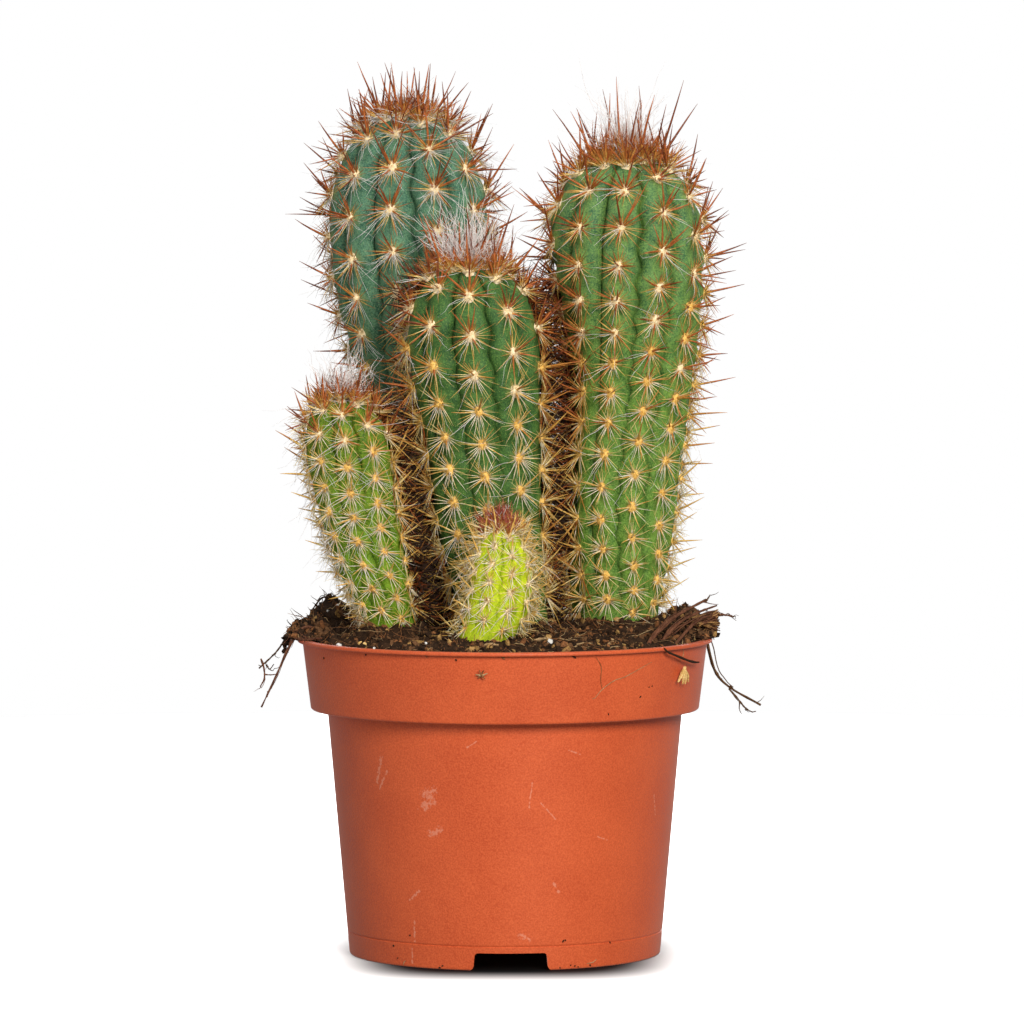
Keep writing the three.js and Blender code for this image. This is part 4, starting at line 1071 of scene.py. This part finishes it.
# each knife starts clear of what it cuts and reaches right through it
def cutPot(piece):
    knives = []
    for i in range(pot["notches"]):
        turn = i / pot["notches"] * 2 * math.pi + math.radians(pot["notchTurn"])
        start = pot["footInner"] - 4
        place = (start * math.sin(turn), -start * math.cos(turn), 0)  # turned from the front, anticlockwise
        knives.append(cutter("notchKnife", notchOutline(), -12, place, turn, True))
    for i in range(pot["holes"]):
        turn = (i + 0.5) / pot["holes"] * 2 * math.pi
        ring = [(pot["holeRadius"] * math.cos(a), pot["holeRadius"] * math.sin(a))
                for a in np.linspace(0, 2 * math.pi, 40, endpoint=False)]
        place = (pot["holeCircle"] * math.cos(turn), pot["holeCircle"] * math.sin(turn), pot["floorFrom"] - 3)
        knives.append(cutter("holeKnife", ring, 8, place, 0, False))
    for knife in knives:
        cut = piece.modifiers.new("cut", "BOOLEAN")
        cut.object = knife
        cut.solver = "EXACT"
    bpy.context.view_layer.update()
    whole = bpy.data.meshes.new_from_object(piece.evaluated_get(bpy.context.evaluated_depsgraph_get()))
    piece.modifiers.clear()
    piece.data = whole
    for knife in knives:
        bpy.data.objects.remove(knife)
    whole.set_sharp_from_angle(angle=math.radians(40))


def potMaterial():
    tree, shader = newMaterial("potPlastic", 0.45, 0.32, {
        "Sheen Weight": 0.06, "Sheen Tint": (1, 0.86, 0.8, 1),
    })
    drift = addDrift(tree, potFinish["base"], 16, 0.38, 0.3, 0.45)
    mask = 0.0
    for i, (fromTurn, fromZ, toTurn, toZ, width) in enumerate(scuffs):
        mask = addNode(tree, "Group", {
            "Start": [c * mm for c in onWall(fromTurn, fromZ)],
            "End": [c * mm for c in onWall(toTurn, toZ)],
            "Width": width * 1.6 * mm, "Break Size": (0.5 + 0.25 * (i % 3)) * mm, "Before": mask,
        }, node_tree=scuff)["Mask"]
    strength = calculate(tree, "MULTIPLY", mask, 0.4)
    tree.links.new(mixColors(tree, strength, drift["Color"], potFinish["dust"]), shader["Base Color"])
    tree.links.new(remap(tree, drift["Mask"], 0.0, 1.0, 0.42, 0.54), shader["Roughness"])
    addRelief(tree, shader, 0.5, 0.08)


def addPot():
    potMaterial()
    piece = makePiece("nurseryPot", lathePart(potOutline(), pot["segments"]), ["potPlastic"])
    cutPot(piece)
    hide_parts("pot")


peatFinishes = {
    "peat": ("251810", "100a06", "47311f"), "darkCrumb": ("281a12", "130b07", "432e1d"),
    "brownCrumb": ("573c27", "322012", "835d3d"), "redCrumb": ("764a2e", "482a17", "a06c42"),
    "tanCrumb": ("99723f", "684a26", "c29a60"), "tanFibre": ("a3835a", "6f5233", "c9ab80"),
    "root": ("4b3523", "281a0f", "77573a"), "redRoot": ("5b3726", "371f14", "855840"),
    "tanRoot": ("94683c", "64431f", "bd9360"), "goldChip": ("dfb468", "b98a40", "f6d898"),
    "perlite": ("e4e1da", "c6c1b6", "ffffff"),
}
addPaints(peatFinishes, {"patch": 1.6, "grain": 0.35, "patches": 0.6, "grains": 0.4}, 0.92, 0.15)

# the peat's surface, as in the CAD model
peat = {
    "rim": 78.8, "crown": 5, "bump": 0.55, "slope": 1.6, "margin": 1.5, "ease": 5,
    "mounds": [(-44.5, 2, 8.5, 9.5), (46.5, 2, 6.5, 9), (6, 37, 2.5, 10)],
    "radius": 49.3, "rings": 110, "segments": 440,
    "clods": [(7, 0.5), (3.2, 0.42), (1.5, 0.3), (0.8, 0.16)],
    "gap": 0.35, "hole": 0.96, "bottom": 69, "skirt": ((1, 70), (0.2, 69)),
    "crumbs": 4200, "fibres": 2600, "perlite": 24, "seed": 71,
}


def soilTop(x, y):
    radius = np.hypot(x, y)
    wallAt = innerRadius(pot["height"]) - peat["gap"]
    inward = np.clip(1 - (radius / wallAt) ** 2, 0, 1)
    edge = smoothstep(wallAt - radius, 0, peat["slope"])
    z = peat["rim"] + peat["crown"] * inward ** 0.8
    for moundX, moundY, height, width in peat["mounds"]:
        z = z + height * np.exp(-((x - moundX) ** 2 + (y - moundY) ** 2) / width ** 2) * edge
    z = z + peat["bump"] * edge * (np.sin(x * 0.71 + y * 0.33) + np.sin(y * 0.83 - x * 0.41))
    for stem in stems.values():
        axisX, axisY = axisAt(stem, stem["soil"])
        holeRadius = crestRadius(stem, stem["soil"]) * peat["hole"]
        off = np.hypot(x - axisX, y - axisY) - holeRadius - peat["margin"]
        z = stem["soil"] + (z - stem["soil"]) * smoothstep(off, 0, peat["ease"])
    return z


def crumble(x, y):
    points = np.stack([x, y, np.zeros_like(x)], -1)
    layers = enumerate(peat["clods"])
    height = sum(size * np.abs(ripple(points, wave, peat["seed"] + i)) for i, (wave, size) in layers)
    return height - 0.5


# soil that has slipped over the lip: middle and half width in degrees round the pot, and its reach;
# tucked is where it turns back under and down into the pot
spill = {
    "places": [(177.5, 20, 55.6), (2.5, 17, 53.9)], "from": 46, "inside": 50, "onLip": 80.06, "ragged": 0.6,
    "tucked": ((50.3, 80.06), (49.6, 79.2), (46, 77)), "underMost": 52.7,
    "sections": 150, "steps": 26, "crumbs": 560, "clods": 90, "fibres": 420,
}


# how far off its middle an angle is, from -1 to 1
def spillShare(angle, turn, half):
    return np.clip(((angle - turn + 180) % 360 - 180) / half, -1, 1)


def spillEdge(angle, turn, half, reach):
    across = spillShare(angle, turn, half)
    sideways = np.stack([across * half * 0.9 + reach, 0 * across, 0 * across], -1)  # a degree is 0.9 mm here
    ragged = spill["ragged"] * ripple(sideways, 4, peat["seed"] + 20)
    return spill["inside"] + (reach - spill["inside"] + ragged) * np.cos(across * np.pi / 2) ** 0.7


def spillTop(x, y):
    angle, radius = np.degrees(np.arctan2(y, x)), np.maximum(np.hypot(x, y), 1)
    z = np.full(np.shape(x), -1.0)
    for turn, half, reach in spill["places"]:
        edge = spillEdge(angle, turn, half, reach)
        share = (radius - spill["from"]) / (edge - spill["from"])
        inner = soilTop(x / radius * spill["from"], y / radius * spill["from"])
        low = spill["onLip"] + 0.5
        slope = low + np.maximum(inner - low, 0) * (1 - np.clip(share, 0, 1)) ** 1.1
        across = spillShare(angle, turn, half)
        under = np.where(radius < spill["inside"], soilTop(x, y) - 0.4, spill["onLip"])
        top = under + (slope - under) * np.cos(across * np.pi / 2) ** 0.5
        z = np.where((np.abs(share - 0.5) < 0.501) & (np.abs(across) < 1), top, z)
    return z


def groundAt(x, y):
    return np.maximum(soilTop(x, y), spillTop(x, y)) + crumble(x, y)


def spillPlaces(random, count):
    pick = random.integers(0, len(spill["places"]), count)
    turn, half, reach = np.array(spill["places"])[pick].T
    angle = turn + half * random.uniform(-0.96, 0.96, count)
    edge = spillEdge(angle, turn, half, reach)
    radius = spill["from"] + (edge - spill["from"]) * random.uniform(0.1, 1, count) ** 0.8
    x, y = radius * np.cos(np.radians(angle)), radius * np.sin(np.radians(angle))
    return np.stack([x, y, groundAt(x, y)], -1)


def spillPart(turn, half, reach):
    angle = np.linspace(turn - half, turn + half, spill["sections"])[1:-1]
    edge = spillEdge(angle, turn, half, reach)[:, None]
    share = np.linspace(0, 1, spill["steps"])
    radius = spill["from"] + (edge - spill["from"]) * share
    ux, uy = np.cos(np.radians(angle))[:, None], np.sin(np.radians(angle))[:, None]
    rough = crumble(radius * ux, radius * uy) * (1 - share ** 4)
    top = spillTop(radius * ux, radius * uy) + np.maximum(rough, -0.2)
    radii = [radius, edge - 0.15, np.minimum(edge - 0.3, spill["underMost"])]
    heights = [top, np.full_like(edge, spill["onLip"] + 0.1), np.full_like(edge, spill["onLip"])]
    radii += [np.full_like(edge, under) for under, _ in spill["tucked"]]
    heights += [np.full_like(edge, height) for _, height in spill["tucked"]]
    radius = np.concatenate(radii, axis=1)
    points = np.stack([radius * ux, radius * uy, np.concatenate(heights, axis=1)], -1)
    index, _, quads = ringFaces(*radius.shape)
    ends = np.stack([index[0, ::-1], index[-1]])
    return points.reshape(-1, 3), [quads, ends], [np.zeros(len(quads)), np.zeros(2)]


def addPeat():
    angle = np.arange(peat["segments"]) / peat["segments"] * 2 * np.pi
    radii = peat["radius"] * (np.arange(1, peat["rings"] + 1) / peat["rings"]) ** 0.85
    x, y = np.outer(radii, np.sin(angle)), -np.outer(radii, np.cos(angle))
    z = soilTop(x, y) + crumble(x, y)
    skirt = [(x[-1] * share, y[-1] * share, np.full_like(x[-1], height)) for share, height in peat["skirt"]]
    points = np.concatenate([np.stack([x, y, z], -1)] + [np.stack(row, -1)[None] for row in skirt])
    part = closedPart(points, np.array([[0, 0, z[0].mean()], [0, 0, peat["bottom"]]]), turned=True)
    piece = makePiece("peatBed", part, ["peat"])
    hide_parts("soil")
    slipped = joinParts([spillPart(*place) for place in spill["places"]])
    makePiece("slippedPeat", slipped, ["peat"])


# an angular lump: points on a ball, pushed about
def lumpShape(subdivisions):
    ball = bmesh.new()
    bmesh.ops.create_icosphere(ball, subdivisions=subdivisions, radius=1)
    points = np.array([v.co for v in ball.verts])
    faces = np.array([[v.index for v in f.verts] for f in ball.faces])
    ball.free()
    return points, faces


def randomTurns(random, count):
    q = unit(random.normal(size=(count, 4)))
    w, x, y, z = q.T
    return np.stack([
        1 - 2 * (y * y + z * z), 2 * (x * y - z * w), 2 * (x * z + y * w),
        2 * (x * y + z * w), 1 - 2 * (x * x + z * z), 2 * (y * z - x * w),
        2 * (x * z - y * w), 2 * (y * z + x * w), 1 - 2 * (x * x + y * y),
    ], -1).reshape(count, 3, 3)


def lumpsPart(random, places, sizes, stretch, subdivisions, slots, rough=0.2):
    shape, faces = lumpShape(subdivisions)
    count = len(places)
    lumps = shape[None] * (1 + random.normal(0, rough, (count, len(shape), 1))) * np.asarray(stretch)
    lumps = (lumps @ randomTurns(random, count)) * sizes[:, None, None] + places[:, None]
    return lumps.reshape(-1, 3), [copyFaces(faces, count, len(shape))], [np.repeat(slots, len(faces))]


def soilPlaces(random, count, most=49.0):
    radius = most * np.sqrt(random.uniform(0, 1, count))
    angle = random.uniform(0, 2 * np.pi, count)
    x, y = radius * np.cos(angle), radius * np.sin(angle)
    return np.stack([x, y, soilTop(x, y) + crumble(x, y)], -1)


def addCrumbs():
    random = np.random.default_rng(peat["seed"])
    places = np.concatenate([soilPlaces(random, peat["crumbs"]), spillPlaces(random, spill["crumbs"])])
    sizes = np.minimum(random.gamma(2.1, 0.21, len(places)) + 0.2, 1.5)
    sizes[-spill["clods"]:] += random.uniform(0.3, 0.9, spill["clods"])
    slots = random.choice(4, len(places), p=[0.36, 0.36, 0.2, 0.08])
    part = lumpsPart(random, places, sizes, (1.1, 0.72, 0.55), 1, slots, 0.27)
    finishes = ("darkCrumb", "brownCrumb", "redCrumb", "tanCrumb")
    makePiece("peatCrumbs", part, finishes, smooth=False)
    white = soilPlaces(random, peat["perlite"], 46)
    size = random.uniform(0.25, 0.65, len(white))
    lumps = lumpsPart(random, white, size, (1, 0.9, 0.8), 2, np.zeros(len(white)), 0.1)
    makePiece("perlite", lumps, ["perlite"], smooth=False)


def addFibres():
    random = np.random.default_rng(peat["seed"] + 3)
    places = np.concatenate([soilPlaces(random, peat["fibres"], 49.3), spillPlaces(random, spill["fibres"])])
    count = len(places)
    heading = random.uniform(0, 2 * np.pi, count)
    rise = random.normal(0.12, 0.25, count)
    aims = unit(np.stack([np.cos(heading), np.sin(heading), rise], -1))
    length = random.gamma(2.2, 1.6, count) + 1
    length *= np.where(np.hypot(places[:, 0], places[:, 1]) > 42, 0.55, 1)  # shorter near the wall
    paths = loosePaths(random, places, aims, length, 7, 0.3, 0.16)
    paths[..., 2] = np.maximum(paths[..., 2], groundAt(paths[..., 0], paths[..., 1]) - 0.1)
    held = (np.hypot(paths[..., 0], paths[..., 1]) < 51.5) | (spillTop(paths[..., 0], paths[..., 1]) > 0)
    inside = held[:, :5].all(1)
    for stem in stems.values():
        inside &= ~insideStem(stem, paths, 0).any(1)
    radii = random.uniform(0.06, 0.17, (count, 1)) * np.array([0.7, 1, 1, 1, 0.9, 0.7, 0.3])
    slots = random.choice(4, count, p=[0.3, 0.34, 0.2, 0.16])
    part = strandPart(paths[inside], radii[inside], 3, slots[inside, None])
    makePiece("peatFibres", part, ("darkCrumb", "brownCrumb", "redCrumb", "tanFibre"))


# root fibres that stand out of the peat or hang over the lip: finish, radius, how many run beside it,
# how many branch off, and its points
rootFinishes = ("root", "redRoot", "tanRoot")
roots = [
    (1, 0.75, 5, 6, [(33, -33, 77), (38.5, -27, 83.9), (42.7, -21, 86.8), (50.5, -11, 90.2)]),
    (1, 0.65, 5, 6, [(36, -27, 77), (42.7, -20, 84.3), (48, -14, 87), (53.4, -6, 88.4)]),
    (1, 0.6, 3, 4, [(41, -22, 78), (48, -11, 84.6), (53.6, -3, 85.8), (57.5, -1, 85.4)]),
    (0, 0.72, 3, 5, [(41, 18, 80), (46.5, 20, 84), (51, 20.5, 79), (53.6, 17.5, 70.4), (57.3, 15, 66.1),
                     (65.2, 11, 61.8)]),
    (1, 0.55, 2, 9, [(-42, -6, 80), (-49.5, -7, 83), (-53.6, -7.5, 79.5), (-58, -7.5, 70),
                     (-61.4, -7.5, 62.8)]),
    (0, 0.5, 2, 8, [(-42, 3, 82), (-50, 3, 84), (-54.6, 3, 80.6), (-58, 3, 76), (-62.4, 3, 71.8)]),
    (0, 0.5, 1, 4, [(-40, 8, 84), (-43.4, 9, 88.6), (-46.4, 9, 89.4), (-49.2, 9, 86.1)]),
    (0, 0.42, 0, 1, [(50.4, -11, 89.6), (51.5, -10, 91.1)]),
    (0, 0.4, 0, 0, [(44.8, -17, 86), (47.5, -12, 88.4)]),
    (0, 0.3, 0, 3, [(54.2, -1, 85.5), (56, -1, 85.6), (57.9, -1, 85.1)]),
    (2, 0.25, 0, 0, [(51.6, -2, 82.4), (52.4, -2, 81.4), (52.9, -2, 79.4)]),
    (0, 0.35, 1, 2, [(57.2, 15, 65.7), (60, 14.5, 62.5), (61.2, 14, 61), (62.9, 13.5, 59.9), (64.1, 13, 60)]),
    (1, 0.36, 1, 2, [(-61.5, -7.5, 75.1), (-60.8, -7.5, 73), (-60.6, -7.5, 71.1), (-60.8, -7.5, 69.6),
                     (-61.7, -7.5, 68)]),
    (1, 0.28, 0, 0, [(-60.7, -7.5, 71.1), (-59, -7.5, 71), (-57.4, -7.5, 71.2)]),
    (0, 0.28, 0, 1, [(-60.5, 3, 72.8), (-59.7, 3, 71.6), (-58.6, 3, 72.9)]),
    (0, 0.42, 0, 2, [(-42, 9, 86.4), (-43.4, 9, 88.4), (-44.5, 9, 90.5)]),
    (1, 0.4, 3, 3, [(-52.6, -14, 80.6), (-49.6, -18, 80.7), (-45.6, -22, 81.4)]),
    (0, 0.4, 2, 6, [(-54.6, -1, 80.6), (-55.7, -1, 78.8), (-55.3, -0.5, 76.2)]),
]
# the frayed clump on the right: the spans where its fibres start and end; and crumbs hanging on the left
clump = {
    "count": 120,
    "from": ((46.4, 49), (-9, 0), (83.2, 85.6)), "to": ((53.2, 54.3), (-4.5, 1.5), (81.6, 87.2)),
}
clods = {"count": 26, "low": (-56.2, -3, 76.4), "high": (-54.2, 1.5, 80.2), "size": (0.35, 0.85)}


# a smooth path through given points
def throughPoints(points, steps):
    points = np.array(points, float)
    padded = np.concatenate([[2 * points[0] - points[1]], points, [2 * points[-1] - points[-2]]])
    t = np.linspace(0, len(points) - 1, steps)
    i = np.minimum(t.astype(int), len(points) - 2)
    f = (t - i)[:, None]
    a, b, c, d = padded[i], padded[i + 1], padded[i + 2], padded[i + 3]
    cubed = (3 * b - a - 3 * c + d) * f ** 3
    return 0.5 * (2 * b + (c - a) * f + (2 * a - 5 * b + 4 * c - d) * f ** 2 + cubed)


def addRoots():
    random = np.random.default_rng(peat["seed"] + 7)
    parts = []
    steps, branchSteps = 26, 7
    for finish, thick, companions, branches, points in roots:
        path = throughPoints(points, steps)
        taper = np.linspace(1, 0.5, steps)
        knots = 1 + 0.15 * random.normal(size=steps)
        parts.append(strandPart(path[None], (thick * 0.76 * taper * knots)[None], 7, finish))
        share = np.linspace(0, 1, steps)
        for _ in range(companions):
            last = random.uniform(0.5, 1.04)
            beside = np.stack([np.interp(share * last, share, path[:, axis]) for axis in range(3)], -1)
            offset = unit(random.normal(size=3)) * thick * random.uniform(0.5, 1.3)
            offset = offset * np.minimum(share * 3, 1)[:, None]
            beside = beside + offset + wander(random, beside[None], 0.07)[0]
            radii = thick * random.uniform(0.2, 0.42) * taper
            parts.append(strandPart(beside[None], radii[None], 5, finish))
        if branches:
            at = random.integers(6, steps - 1, branches)
            aim = unit(np.gradient(path, axis=0)[at]) + random.normal(0, 0.5, (branches, 3))
            length = random.uniform(0.8, 2.4, branches) * (1 + 1.7 * thick)
            offshoot = loosePaths(random, path[at], unit(aim), length * 0.8, branchSteps, 0.35, 0.2)
            radii = random.uniform(0.1, 0.2, (branches, 1)) * np.linspace(1, 0.3, branchSteps)
            parts.append(strandPart(offshoot, radii, 4, finish))
    count = clump["count"]
    start = np.stack([random.uniform(*span, count) for span in clump["from"]], -1)
    end = np.stack([random.uniform(*span, count) for span in clump["to"]], -1)
    end[:, 2] = np.maximum(end[:, 2], groundAt(end[:, 0], end[:, 1]) + 0.1)
    paths = start[:, None] + (end - start)[:, None] * np.linspace(0, 1, 7)[None, :, None]
    paths += wander(random, paths, 0.14)
    radii = random.uniform(0.12, 0.3, (count, 1)) * np.array([0.6, 1, 1, 0.95, 0.9, 0.75, 0.5])
    finish = random.choice((1, 2), count, p=(0.45, 0.55))
    parts.append(strandPart(paths, radii, 4, finish[:, None]))
    makePiece("looseRoots", joinParts(parts), rootFinishes)
    places = random.uniform(clods["low"], clods["high"], (clods["count"], 3))
    sizes = random.uniform(*clods["size"], clods["count"])
    hanging = lumpsPart(random, places, sizes, (1, 0.8, 0.7), 1, np.zeros(clods["count"]))
    makePiece("hangingCrumbs", hanging, ["darkCrumb"], smooth=False)


# what sticks to the pot's wall: finish, radius, lift and points as degrees round the pot and height
wallBits = [
    ("redCrumb", 0.1, 0.1, [(26, 78.5), (27.8, 76), (27.9, 72.7), (28.6, 70.2)]),
    ("tanFibre", 0.1, 0.15, [(25.5, 68.3), (26.3, 68.2), (28.4, 70.3), (32.1, 72.4), (35.5, 73.1), (39, 74.3),
                             (45.5, 76.5)]),
    ("darkCrumb", 0.4, 1.4, [(48.7, 79.8), (50.5, 78.7), (55.2, 77.4), (61, 76), (65.6, 75.3), (68.9, 75.1)]),
    ("goldChip", 0.45, 1.2, [(59.9, 74.6), (58.4, 72.4), (57.1, 70.8)]),
    ("goldChip", 0.42, 1.4, [(59.9, 74.6), (59.4, 72.2), (59.3, 70.2)]),
    ("goldChip", 0.42, 1.2, [(60, 74.4), (61, 72.2), (61.3, 70.1)]),
    ("goldChip", 0.4, 1, [(60.1, 74.2), (62.4, 72.4), (63.6, 70.5)]),
    ("redCrumb", 0.3, 0.2, [(-2.4, 79.6), (-1.1, 79.3), (0.1, 78.3)]),
    ("redCrumb", 0.2, 0.3, [(-1.1, 79.4), (0.4, 79.2), (1.4, 78.8)]),
    ("darkCrumb", 0.24, 0.2, [(17.4, 79.9), (18.8, 79.1), (20, 78.4)]),
    ("tanFibre", 0.22, 0.8, [(-8, 74.6), (-6.3, 74.4), (-4.7, 74.9)]),
    ("redCrumb", 0.24, 0.9, [(-6.9, 75.7), (-6.3, 74.4), (-5.3, 73.5)]),
    ("redCrumb", 0.22, 0.7, [(-5.7, 75.7), (-6.4, 74.5), (-7.3, 73.7)]),
    ("tanFibre", 0.1, 0.1, [(60, 79), (60.5, 77.4), (58.5, 75.6)]),
    ("tanFibre", 0.12, 0.1, [(-39.6, 0.4), (-39.2, 1.2), (-38.4, 1.6)]),
    ("tanFibre", 0.12, 0.1, [(31, 1.2), (33.5, 1.4), (35, 2)]),
]
wallSpecks = {
    "size": (0.2, 0.38),
    "places": [
        (31.2, 64.1), (42.2, 67.9), (45.5, 70.2), (46.7, 70.4), (-62.4, 76.5), (-13.5, 78.1), (-42.1, 78.4),
        (64.6, 79.2), (26.2, 0.8), (27.5, 0.5), (24.5, 1), (32.5, 0.7), (20.3, 0.5), (22, 7.4), (21.2, 7.2),
        (-42.3, 2), (-44, 5), (-24.1, 0.4), (-23, 0.9), (41, 6), (-36, 8),
    ],
}
# what lies on the peat: finish, size, place on the ground
soilBits = [
    ("darkCrumb", 1.7, (-29.1, -37)), ("darkCrumb", 1.2, (-27.4, -38)), ("goldChip", 0.8, (-36, -31)),
    ("goldChip", 0.6, (-34.8, -31.5)), ("perlite", 0.85, (11.2, -40)), ("perlite", 0.8, (-41.2, -26.5)),
    ("perlite", 0.4, (-32.3, -37.4)), ("goldChip", 0.9, (48.2, -10.5)),
]
# splinters on the peat: place, heading in degrees and length
slivers = [
    (17, -38.5, 30, 4), (20.5, -37.5, 10, 5.5), (24, -37, -12, 4.5), (26.5, -36.2, 35, 3), (9, -39, 20, 5),
    (-4, -45.5, 5, 5), (28, -34, -20, 3.4),
]


def addBits():
    random = np.random.default_rng(peat["seed"] + 11)
    names = ("darkCrumb", "redCrumb", "tanFibre", "goldChip", "perlite")
    parts = []
    for finish, radius, lift, points in wallBits:
        path = throughPoints([onWall(degrees, z, lift) for degrees, z in points], 14)
        radii = radius * np.sin(np.linspace(0.35, 2.8, 14)) ** 0.7 * random.uniform(0.75, 1.1, 14)
        parts.append(strandPart(path[None], radii[None], 5, names.index(finish)))
    for x, y, heading, length in slivers:
        aim = np.array([math.cos(math.radians(heading)), math.sin(math.radians(heading))])
        ends = [np.array([x, y]) + aim * length * share for share in (-0.5, 0, 0.5)]
        path = throughPoints([(*end, float(groundAt(*end)) + 0.5) for end in ends], 8)
        radii = 0.42 * np.sin(np.linspace(0.4, 2.6, 8)) ** 0.5 * random.uniform(0.7, 1.1, 8)
        parts.append(strandPart(path[None], radii[None], 4, names.index("tanFibre")))
    for degrees, z in wallSpecks["places"]:
        place = np.array([onWall(degrees, z, 0.05)])
        size = random.uniform(*wallSpecks["size"], 1)
        parts.append(lumpsPart(random, place, size, (1, 0.8, 0.6), 1, np.zeros(1)))
    for finish, size, (x, y) in soilBits:
        place = np.array([[x, y, float(groundAt(x, y)) + size * 0.3]])
        slot = np.full(1, names.index(finish))
        parts.append(lumpsPart(random, place, np.array([size]), (1, 0.8, 0.6), 2, slot, 0.1))
    makePiece("looseBits", joinParts(parts), names, smooth=False)


def addStage():
    tree, shader = newMaterial("palePaper", 0.9, 0.1)
    grain = addNode(tree, "TexNoise", {"Scale": 40.0, "Detail": 3.0})["Fac"]
    paper = mixColors(tree, grain, *[(tone, tone, tone, 1) for tone in studio["paper"]])
    # painted shadow: for the camera the paper turns black under the pot and fades out round its foot
    paintedShadow = studio["shade"]
    share = (1 / (paintedShadow["across"] * mm), 1 / (paintedShadow["deep"] * mm), 0)
    aside = (-paintedShadow["middle"][0] / paintedShadow["across"], -paintedShadow["middle"][1] / paintedShadow["deep"], 0)
    place = addNode(tree, "TexCoord")["Object"]
    scaled = calculateVector(tree, "MULTIPLY_ADD", place, share, aside)
    squared = calculateVector(tree, "MULTIPLY", scaled, scaled)
    away = calculate(tree, "SQRT", calculateVector(tree, "LENGTH", squared))
    clear = remap(tree, away, paintedShadow["from"], paintedShadow["to"], interpolation_type="SMOOTHSTEP")
    shaded = mixColors(tree, clear, (0, 0, 0, 1), paper)
    seen = addNode(tree, "LightPath")["Is Camera Ray"]
    thrown = (studio["bounce"], studio["bounce"], studio["bounce"], 1)
    tree.links.new(mixColors(tree, seen, thrown, shaded), shader["Base Color"])
    rim = [(math.cos(a) * studio["floor"] * mm, math.sin(a) * studio["floor"] * mm, 0)
           for a in np.linspace(0, 2 * math.pi, 96, endpoint=False)]
    mesh = bpy.data.meshes.new("floor")
    mesh.from_pydata(rim, [], [range(len(rim))])
    mesh.materials.append(paints["palePaper"])
    floor = bpy.data.objects.new("floor", mesh)
    floor.visible_glossy = False
    bpy.context.scene.collection.objects.link(floor)
    return floor


# a light or the camera at its place, turned to its target
def placeHolder(name, held, place, target):
    holder = bpy.data.objects.new(name, held)
    holder.location = Vector(place) * mm
    aim = Vector(target) - Vector(place)
    holder.rotation_euler = aim.to_track_quat("-Z", "Y").to_euler()
    bpy.context.scene.collection.objects.link(holder)
    return holder


def addLights(floor):
    world = bpy.data.worlds.new("surround")
    bpy.context.scene.world = world
    world.use_nodes = True
    tree = world.node_tree
    rays = addNode(tree, "LightPath")
    gloss = remap(tree, rays["Is Glossy Ray"], 0.0, 1.0, studio["surround"], studio["mirrored"])
    level = calculate(tree, "MAXIMUM", gloss, rays["Is Camera Ray"])
    feed(tree, tree.nodes["Background"], {"Strength": level, "Color": (1, 1, 1, 1)})
    onlyFloor = bpy.data.collections.new("onlyFloor")
    onlyFloor.objects.link(floor)
    for name, (place, size, watts, color) in studio["lights"].items():
        light = bpy.data.lights.new(name, "AREA")
        light.size = size * mm
        light.energy = watts
        light.color = color
        holder = placeHolder(name, light, place, studio["target"])
        if name == "sweep":  # brightens the floor to white and leaves the plant alone
            holder.light_linking.receiver_collection = onlyFloor


def addCamera():
    camera = bpy.data.cameras.new("camera")
    camera.sensor_width = view["sensor"]
    camera.lens = view["pixelsPerMm"] * -view["eye"][1] / view["picture"] * view["sensor"]
    camera.clip_end = 10
    bpy.context.scene.camera = placeHolder("camera", camera, view["eye"], view["target"])


bpy.context.scene.view_settings.view_transform = "Standard"
addCamera()
addLights(addStage())
addPot()
addPeat()
addCrumbs()
addFibres()
addRoots()
addBits()
for name, plant in stems.items():
    areoles = findAreoles(plant)
    addSkin(name, plant)
    addSpines(name, plant, areoles)
    addFelt(name, plant, areoles)
    addHairs(name, plant, areoles)
    addBristles(name, plant)
    addThicket(name, plant, areoles)
